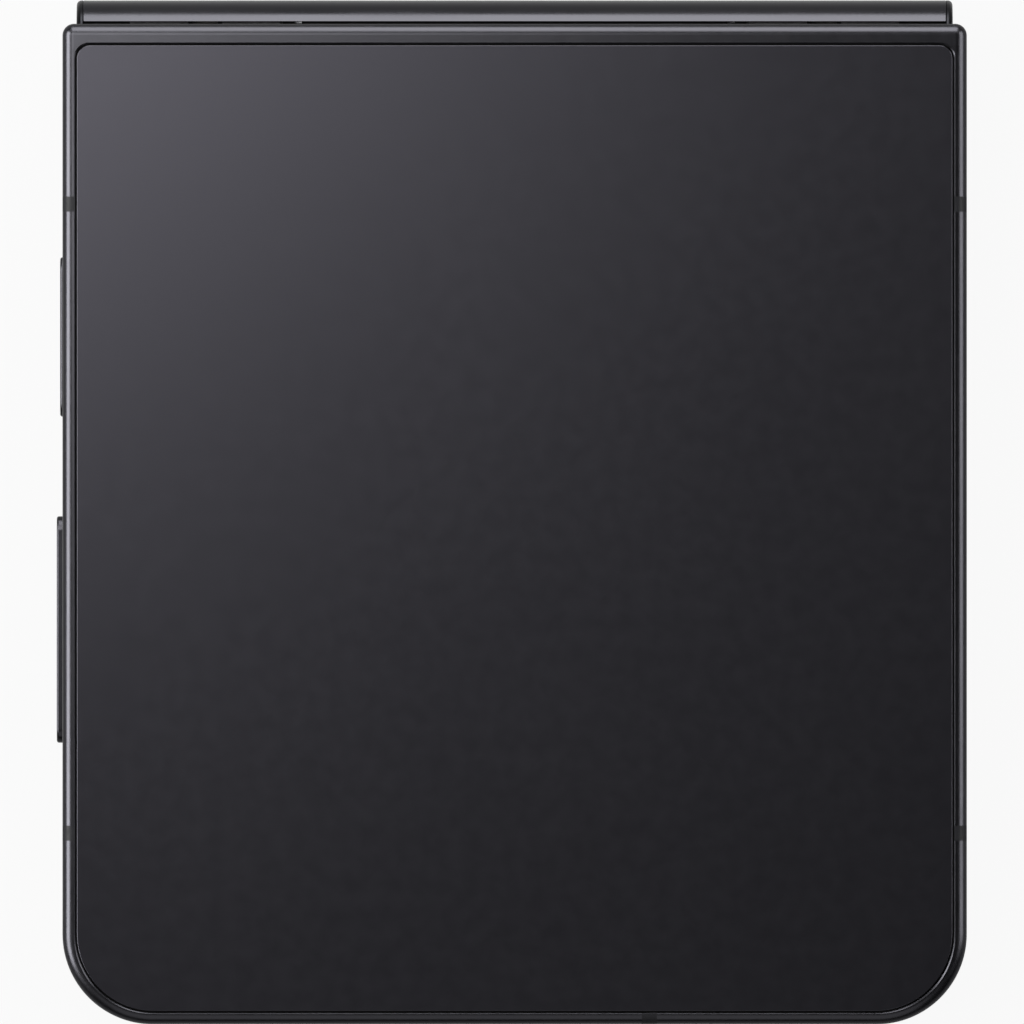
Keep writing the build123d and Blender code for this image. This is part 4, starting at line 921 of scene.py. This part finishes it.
def round_end(piece, x, low_y, radius, segments):
    """Softens the outline of a spine piece at one end."""
    at_end = on_plane(x, 0)
    round_edges(piece, lambda a, b: at_end(a, b) and max(a.y, b.y) > low_y + SEAM, radius, segments)


def spine():
    """Outer cover of the hinge and the caps that close its ends."""
    cover_x = spine_high.x
    leg_y = spine_low.y + SPINE_LEG_CUT
    shell = spine_bar("spine_shell", -cover_x, cover_x, leg_y)
    combine(shell, spine_bar("cavity", -cover_x - PAST, cover_x + PAST, leg_y - CAVITY_PAST, SPINE_WALL))
    for x in (-cover_x, cover_x):
        round_end(shell, x, leg_y, SPINE_SEAM, 3)
    stands_for(shell, "spine_cover", material=spine_metal)
    caps = []
    for side_x in SIDES:
        x0, x1 = sorted((side_x * cover_x, side_x * cap_high.x))
        cap = spine_bar("spine_end", x0, x1, cap_low.y)
        round_end(cap, side_x * cap_high.x, cap_low.y, CAP_ROUND, 6)
        caps.append(cap)
    # the end caps carry painted shade through their darker metal
    stands_for(merge(caps, "spine_ends"), "spine_end_caps", material=cap_painted_shade_metal)


def dust_seals():
    """Flocked strips inside the hinge's cover that close the gaps beside its blocks."""
    strips = []
    spans = [*SEAL_SPANS, *[(-x1, -x0) for x0, x1 in SEAL_SPANS[1:]]]
    y0, y1 = (spine_low.y + reach for reach in SEAL_REACH)
    for side in SIDES:
        face = mid_z + side * (axis_half_gap + SEAL_RISE)
        z0, z1 = sorted((face, face - side * SEAL_THICKNESS))
        for x0, x1 in spans:
            strip = slab("strip", (x0 * MM, y0, z0), (x1 * MM, y1, z1))
            round_edges(strip, lambda a, b: abs(a.y - b.y) < SAME and abs(a.z - b.z) < SAME, SEAL_ROUND, 2)
            strips.append(strip)
    belongs(merge(strips, "spine_dust_seals"), "spine_cover", seal)


spine()
dust_seals()


# Drawn and turned pieces

def chain(name, points):
    """Edge chain through points, as the start of a drawn or turned piece; left in edit mode."""
    deselect()
    bpy.ops.mesh.primitive_plane_add(size=MM, location=points[0])
    piece = bpy.context.object
    piece.name = name
    settle(piece)
    bpy.ops.object.mode_set(mode="EDIT")
    bpy.ops.mesh.select_mode(type="VERT")
    bpy.ops.mesh.select_all(action="SELECT")
    bpy.ops.mesh.merge(type="CENTER")
    for start, end in zip(points, points[1:]):
        step = Vector(end) - Vector(start)
        bpy.ops.mesh.extrude_vertices_move(TRANSFORM_OT_translate={"value": step})
    bpy.ops.mesh.select_all(action="SELECT")
    return piece


def outwards():
    """Doubles merged and faces turned outwards; ends edit mode."""
    bpy.ops.mesh.select_all(action="SELECT")
    bpy.ops.mesh.remove_doubles(threshold=SEAM)
    bpy.ops.mesh.normals_make_consistent(inside=False)
    bpy.ops.object.mode_set(mode="OBJECT")


def pushed_section(name, section, x0, x1):
    """Closed section of (y, z) points pushed along X."""
    piece = chain(name, [(x0, *point) for point in section])
    bpy.ops.mesh.edge_face_add()
    bpy.ops.mesh.extrude_region_move(TRANSFORM_OT_translate={"value": (x1 - x0, 0, 0)})
    outwards()
    return piece


def turned(name, side, centre, profile, steps=64):
    """Piece turned about Z from a profile of (radius, depth) points in millimetres."""
    x, y = centre
    piece = chain(name, [(x + radius * MM, y, level(side, depth * MM)) for radius, depth in profile])
    bpy.ops.mesh.spin(steps=steps, angle=2 * math.pi, center=(x, y, 0), axis=(0, 0, 1))
    outwards()
    return piece


def arc(radius, depth, size, start, end, count=5):
    """Profile points on a small round; angles in degrees, from outwards towards the outer face."""
    angles = [math.radians(start + (end - start) * n / count) for n in range(count + 1)]
    return [(radius + size * math.cos(a), depth + size * math.sin(a)) for a in angles]


# Cameras and flash on the cover half; their turned profiles are in millimetres

ring_low, ring_high = node_box("camera_rings")
flash_low, flash_high = node_box("flash_lens")
RING_OUTER = 5.9
RING_NECK = 5.15
RING_LEDGE = 4.7
RING_BORE = 4.3
RING_BACK = 5.95
RING_SHOULDER = 6.5
RING_FACE = 7.3
RING_ROUND = 0.3
RING_INNER_ROUND = 0.16
WINDOW_RADIUS = 4.66
WINDOW_SEAT = 6.7
WINDOW_BACK = 6.72
WINDOW_FACE = 7.1
WINDOW_ROUND = 0.06
WIDE_APERTURE = 2.7
ULTRAWIDE_APERTURE = 2.3
BARREL_BACK = 6.42
BARREL_WALL = 0.35
BARREL_STEPS = 4
STEP_IN = 0.22
STEP_DOWN = 0.06
LENS_RISE = 0.22
FLASH_RADIUS = 1.5
FLASH_BACK = 5.95
FLASH_FACE = 6.46
FLASH_RIDGE = 0.2
RING_HOLE = 5.2 * MM
FLASH_HOLE = 1.55 * MM
HOLE_REACH = 4.0 * MM
camera_y = (ring_low.y + ring_high.y) / 2
wide_at = (ring_low.x + RING_OUTER * MM, camera_y)
ultrawide_at = (ring_high.x - RING_OUTER * MM, camera_y)
flash_at = ((flash_low.x + flash_high.x) / 2, camera_y)


def camera_ring(centre):
    """Turned metal ring with a polished outer edge and a seat for the window."""
    profile = [(RING_BORE, RING_BACK), (RING_NECK, RING_BACK), (RING_NECK, RING_SHOULDER),
               (RING_OUTER, RING_SHOULDER)]
    profile += arc(RING_OUTER - RING_ROUND, RING_FACE - RING_ROUND, RING_ROUND, 0, 90, 6)
    profile += arc(RING_LEDGE + RING_INNER_ROUND, RING_FACE - RING_INNER_ROUND, RING_INNER_ROUND, 90, 180, 4)
    profile += [(RING_LEDGE, WINDOW_SEAT), (RING_BORE, WINDOW_SEAT), (RING_BORE, RING_BACK)]
    return turned("camera_ring", COVER, centre, profile, 96)


def camera_window(name, centre, aperture):
    """Black-printed window with a clear opening over one camera."""
    edge = WINDOW_FACE - WINDOW_ROUND
    profile = [(aperture, WINDOW_BACK), (WINDOW_RADIUS, WINDOW_BACK), (WINDOW_RADIUS, edge - 0.02)]
    profile += arc(WINDOW_RADIUS - WINDOW_ROUND, edge, WINDOW_ROUND, 0, 90, 2)
    profile += [(aperture + 0.05, WINDOW_FACE), (aperture, WINDOW_FACE - 0.05), (aperture, WINDOW_BACK)]
    window = turned(name, COVER, centre, profile, 96)
    smooth(window, 25)
    return belongs(window, "camera_windows", cover_finish)


def camera_barrel(name, centre, aperture, node):
    """Stepped barrel and domed front lens of one camera."""
    steps = []
    for n in range(BARREL_STEPS):
        radius = aperture + BARREL_WALL - n * STEP_IN
        depth = WINDOW_SEAT - n * STEP_DOWN
        steps += [(radius, depth), (radius - STEP_IN + 0.02, depth), (radius - STEP_IN, depth - STEP_DOWN)]
    inner = steps[-1][0]
    outer = aperture + BARREL_WALL
    barrel = turned(name + "_barrel", COVER, centre,
                    [(outer, BARREL_BACK), *steps, (inner - 0.02, BARREL_BACK), (outer, BARREL_BACK)], 72)
    smooth(barrel, 20)
    belongs(barrel, node, lens_black)
    angles = [math.pi / 2 * n / 10 for n in range(10, -1, -1)]
    dome = [(inner * math.sin(a), BARREL_BACK + LENS_RISE * math.cos(a)) for a in angles]
    lens = turned(name + "_lens", COVER, centre, dome, 72)
    smooth(lens, 60)
    belongs(lens, node, lens_coat)


def flash_window():
    """Flash lens with its rings of fine ridges."""
    face = FLASH_FACE
    profile = [(0, face)]
    for n in range(1, 7):
        profile += [(FLASH_RIDGE * n - 0.02, face), (FLASH_RIDGE * n, face - 0.04)]
    profile += [(1.28, face + 0.04), (FLASH_RADIUS - 0.05, face + 0.04), (FLASH_RADIUS, face),
                (FLASH_RADIUS, FLASH_BACK), (0, FLASH_BACK)]
    flash = turned("flash_window", COVER, flash_at, profile, 48)
    stands_for(flash, "flash_lens", 25)


def cameras():
    """Both cameras with their rings and windows."""
    rings = merge([camera_ring(wide_at), camera_ring(ultrawide_at)], "camera_trim_rings")
    stands_for(rings, "camera_rings", material=spine_metal)
    wide = camera_window("wide_window", wide_at, WIDE_APERTURE)
    camera_barrel("wide", wide_at, WIDE_APERTURE, "wide_camera")
    camera_window("ultrawide_window", ultrawide_at, ULTRAWIDE_APERTURE)
    camera_barrel("ultrawide", ultrawide_at, ULTRAWIDE_APERTURE, "ultrawide_camera")
    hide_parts("camera_windows")


def round_holes():
    """Tools for the holes of the rings and the flash in the outer glass."""
    z = level(COVER, thickness)
    return [rod("ring_hole", 2, (*wide_at, z), RING_HOLE, HOLE_REACH, 96),
            rod("ring_hole", 2, (*ultrawide_at, z), RING_HOLE, HOLE_REACH, 96),
            rod("flash_hole", 2, (*flash_at, z), FLASH_HOLE, HOLE_REACH, 48)]


glass_sheet(COVER, "cover_glass_panel", "cover_glass", round_holes())
gasket(COVER, "cover_glass_seal", "cover_frame")
cameras()
flash_window()


# Keys, card tray, charging port, loudspeaker and microphones

KEY_EDGE = 0.18 * MM
FLANGE_THICKNESS = 0.3 * MM
POWER_REST_GAP = 0.02 * MM
VOLUME_REST_GAP = 0.25 * MM
VOLUME_RIDGE = 0.85 * MM
DOOR_THICKNESS = 1.1 * MM
DOOR_EDGE = 0.08 * MM
EJECT_Y = -4.8 * MM
EJECT_RADIUS = 0.45 * MM
EJECT_REACH = 3.0 * MM
BED_HALF = (5.2 * MM, 0.4 * MM)
BED_CORNER = 1.2 * MM
CARD_X = (21.9 * MM, 34.2 * MM)
CARD_Y = (-4.1 * MM, 4.7 * MM)
CARD_SEAT = 0.25 * MM
USB_WALL = 0.3 * MM
USB_LIP = 0.1 * MM
TONGUE_HALF = (3.345 * MM, 0.35 * MM)
TONGUE_INSET = (0.9 * MM, 0.5 * MM)
TONGUE_ROUND = 0.14 * MM
CONTACTS = 12
CONTACT_PITCH = 0.5 * MM
CONTACT_HALF = 0.13 * MM
CONTACT_SPAN = (1.3 * MM, 5.2 * MM)
CONTACT_THICKNESS = 0.03 * MM
CONTACT_BEVEL = 0.02 * MM
MESH_BEHIND = 0.55 * MM
MESH_THICKNESS = 0.12 * MM
MESH_HALF = 0.9 * MM
MESH_CORNER = 0.3 * MM
MESH_PAST = 1.2 * MM


def key(name, node, low, high, rest_gap, ridge=0.0):
    """Key with a softened cap outside and its flange inside the rim; a rocker turns on its ridge."""
    y = (low.y + high.y) / 2
    z = level(COVER, KEY_DEPTH)
    length = high.y - low.y - 2 * KEY_FLANGE
    flange_x = -half_x + KEY_SEAT + rest_gap + FLANGE_THICKNESS / 2
    cap = long_slot(name, 0, ((low.x + flange_x) / 2, y, z), length, KEY_HEIGHT, flange_x - low.x)
    round_edges(cap, on_plane(low.x, 0), KEY_EDGE, 5)
    flange = long_slot("flange", 0, (flange_x, y, z), length + 2 * KEY_FLANGE, KEY_HEIGHT + 2 * KEY_FLANGE,
                       FLANGE_THICKNESS)
    parts = [cap, flange]
    if ridge:
        parts.append(rod("ridge", 2, (-half_x + KEY_SEAT + FLANGE_THICKNESS / 2, y, z), ridge,
                         KEY_HEIGHT - 0.1 * MM, 32))
    stands_for(merge(parts, name), node)


def card_tray():
    """Card drawer with its flush door, eject hole and card recess."""
    z = level(COVER, TRAY_DEPTH)
    face_x = tray_high.x
    door_x = face_x - DOOR_THICKNESS
    bed_y, bed_z = BED_HALF
    door = long_slot("sim_drawer", 0, ((door_x + face_x) / 2, tray_y, z), *TRAY_DOOR, DOOR_THICKNESS)
    combine(door, rod("eject_hole", 0, (face_x, tray_y + EJECT_Y, z), EJECT_RADIUS, EJECT_REACH, 20))
    round_edges(door, lambda a, b: min(a.x, b.x) > face_x - SAME, DOOR_EDGE, 3)
    bed = slab("bed", (tray_low.x, tray_y - bed_y, z - bed_z), (door_x + SINK, tray_y + bed_y, z + bed_z))
    round_edges(bed, lambda a, b: upright(a, b) and a.x < tray_low.x + MM, BED_CORNER, 5)
    combine(bed, slab("card_place", (CARD_X[0], tray_y + CARD_Y[0], z - bed_z - PAST),
                      (CARD_X[1], tray_y + CARD_Y[1], z + CARD_SEAT)))
    stands_for(merge([door, bed], "sim_drawer"), "sim_tray")


def port_shell():
    """Drawn steel shell of the charging port, with a rolled lip."""
    z = level(BASE, thickness / 2)
    reach = usb_high.y - usb_low.y
    y = (usb_low.y + usb_high.y) / 2
    shell = long_slot("usb_receptacle", 1, (0, y, z), USB_WIDTH, USB_HEIGHT, reach, 16)
    combine(shell, long_slot("bore", 1, (0, y - 2 * USB_WALL, z), USB_WIDTH - 2 * USB_WALL,
                             USB_HEIGHT - 2 * USB_WALL, reach, 16))
    round_edges(shell, on_plane(usb_low.y, 1), USB_LIP, 3)
    stands_for(shell, "usb_port")


def port_tongue():
    """Tongue of the charging port with its gold contacts."""
    z = level(BASE, thickness / 2)
    half_width, half_height = TONGUE_HALF
    front_y = usb_low.y + TONGUE_INSET[0]
    tongue = slab("usb_tongue", (-half_width, front_y, z - half_height),
                  (half_width, usb_high.y - TONGUE_INSET[1], z + half_height))
    round_edges(tongue, lambda a, b: max(a.y, b.y) < front_y + SAME, TONGUE_ROUND, 3)
    smooth(tongue, 30)
    belongs(tongue, "usb_port", plastic)
    y0, y1 = (usb_low.y + reach for reach in CONTACT_SPAN)
    contacts = []
    for n in range(CONTACTS):
        x = (n - (CONTACTS - 1) / 2) * CONTACT_PITCH
        for side_z in SIDES:
            face = z + side_z * half_height
            z0, z1 = sorted((face, face + side_z * CONTACT_THICKNESS))
            contacts.append(slab("contact", (x - CONTACT_HALF, y0, z0), (x + CONTACT_HALF, y1, z1)))
    plated = merge(contacts, "usb_contacts")
    round_edges(plated, lambda a, b: abs(a.y - b.y) < SAME and max(a.y, b.y) < y0 + SEAM, CONTACT_BEVEL, 1)
    belongs(plated, "usb_port", gold)


def end_mesh(name, side, node, x0, x1):
    """Woven steel mesh behind the openings in a free end's wall."""
    y = free_y + WALL_END - MESH_BEHIND
    z = level(side, thickness / 2)
    mesh = slab(name, (x0, y, z - MESH_HALF), (x1, y + MESH_THICKNESS, z + MESH_HALF))
    round_edges(mesh, lambda a, b: abs(a.y - b.y) > LONG_EDGE * MESH_THICKNESS, MESH_CORNER, 3)
    belongs(mesh, node, mesh_steel)


key("power_button_cap", "power_key", power_low, power_high, POWER_REST_GAP)
key("volume_rocker_cap", "volume_key", volume_low, volume_high, VOLUME_REST_GAP, VOLUME_RIDGE)
card_tray()
port_shell()
port_tongue()
end_mesh("loudspeaker_mesh", BASE, "base_frame", SPEAKER_PLACES[0] - MESH_PAST,
         SPEAKER_PLACES[-1] + MESH_PAST)
end_mesh("base_mic_mesh", BASE, "base_frame", MIC_X - 2 * MIC_RADIUS, MIC_X + 2 * MIC_RADIUS)
end_mesh("cover_mic_mesh", COVER, "cover_frame", MIC_X - 2 * MIC_RADIUS, MIC_X + 2 * MIC_RADIUS)


# Inner face: bezels, folding display, selfie camera and pads

DISPLAY_FRONT = 0.5 * MM
DISPLAY_BACK = 0.9 * MM
BEND_START = 40.30 * MM
BEND_END = 39.05 * MM
BEND_HALF = 1.649 * MM
BEND_STEPS = 14
BEND_PASSES = 300
BEND_EASE = 0.25
FOLD_LINE_DEPTH = 1.525 * MM
CREASE = 0.05 * MM
CREASE_WIDTH = 1.5 * MM
SELFIE_OPENING = 1.78 * MM
BEZEL_WIDTH = 2.2 * MM
BEZEL_INNER_CORNER = 4.6 * MM
BEZEL_ROUND = 0.12 * MM
PAD_RADIUS = 0.55
PAD_STEM = 0.15
PAD_DOME = 0.18


def smoothstep(value):
    """Soft step from 0 to 1."""
    value = min(1.0, max(0.0, value))
    return value * value * (3 - 2 * value)


def closed_place(height, depth, share):
    """Closed place of a display point that stands height above the fold line when the phone lies open."""
    crease = CREASE * math.exp(-(height / CREASE_WIDTH) ** 2)
    y = depth + crease - FOLD_LINE_DEPTH
    z = height - axis_half_gap
    turn = share * math.pi / 2
    return (axis_y + y * math.cos(turn) - z * math.sin(turn),
            axis_half_gap + y * math.sin(turn) + z * math.cos(turn))


def bend_line(depth):
    """Points of the display from its flat part to the fold line, as (y, height above the middle)."""
    share = 1.0
    line = []
    for n in range(BEND_STEPS + 1):
        height = BEND_HALF * (1 - n / BEND_STEPS)
        for _ in range(BEND_PASSES):
            y, z = closed_place(height, depth, share)
            share += BEND_EASE * (smoothstep((y - BEND_START) / (BEND_END - BEND_START)) - share)
        line.append((y, z))
    return line


def display_half(side, name, node, replaced):
    """One half of the folding display with its share of the bend, blended across the fold."""
    front = [(display_low.y, closed_gap / 2 + DISPLAY_FRONT), *bend_line(DISPLAY_FRONT)]
    back = [(display_low.y, closed_gap / 2 + DISPLAY_BACK), *bend_line(DISPLAY_BACK)]
    section = [(y, mid_z + side * z) for y, z in front + back[::-1]]
    piece = pushed_section(name, section, display_low.x, display_high.x)
    round_edges(piece, lambda a, b: upright(a, b) and a.y < display_low.y + SAME, DISPLAY_CORNER, 10)
    if side == COVER:
        middle = level(COVER, (DISPLAY_FRONT + DISPLAY_BACK) / 2)
        combine(piece, rod("selfie_opening", 2, (0, SELFIE_Y, middle), SELFIE_OPENING, 2 * MM, 64))
    smooth(piece, 30)
    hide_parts(*replaced)
    painted(piece, node)
    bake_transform(piece)


def bezel_edge(side, name, node):
    """Raised soft edge round one half's display, open at the hinge."""
    low, high = node_box(node)
    edge = plan_slab(name, side, high.x, low.y, high.y, 0, BEZEL_SEAT, BEZEL_CORNER)
    combine(edge, plan_slab("display_opening", side, high.x - BEZEL_WIDTH, low.y + BEZEL_WIDTH,
                            hinge_y + OPEN_END, -PAST, thickness, BEZEL_INNER_CORNER))
    round_edges(edge, on_plane(level(side, 0)), BEZEL_ROUND, 3)
    stands_for(edge, node)


def selfie_lens():
    """Front camera's lens under the display's round opening."""
    dome = [(0.9 * math.sin(a), 0.72 - 0.1 * math.cos(a)) for a in (0.3, 0.6, 0.9, 1.2, 1.5)]
    profile = [(0, 0.62), *dome, (0.95, 0.8), (1.1, 0.8), (1.15, 0.62), (1.7, 0.56), (1.74, 0.6),
               (1.74, 1.9), (0, 1.9)]
    lens = turned("selfie_lens", COVER, (0, SELFIE_Y), profile, 48)
    smooth(lens, 30)
    belongs(lens, "selfie_camera")


def pads(side, name, node):
    """Domed rubber pads that keep the two halves apart."""
    low, high = node_box(node)
    inset = PAD_RADIUS * MM
    profile = [(0, 0.0), (PAD_RADIUS, 0.0), (PAD_RADIUS, -PAD_STEM)]
    profile += [(PAD_RADIUS * math.cos(a), -PAD_STEM - PAD_DOME * math.sin(a)) for a in (0.4, 0.8, 1.2)]
    profile.append((0, -PAD_STEM - PAD_DOME))
    made = [turned("pad", side, (x, y), profile, 24)
            for x in (low.x + inset, high.x - inset) for y in (low.y + inset, high.y - inset)]
    stands_for(merge(made, name), node, 40)


display_half(BASE, "folding_display_base", "inner_display_base",
             ("inner_display_base", "display_fold"))
display_half(COVER, "folding_display_cover", "inner_display_cover",
             ("inner_display_cover",))
bezel_edge(BASE, "base_display_edge", "base_bezel")
bezel_edge(COVER, "cover_display_edge", "cover_bezel")
selfie_lens()
pads(BASE, "base_pads", "base_bumpers")
pads(COVER, "cover_pads", "cover_bumpers")
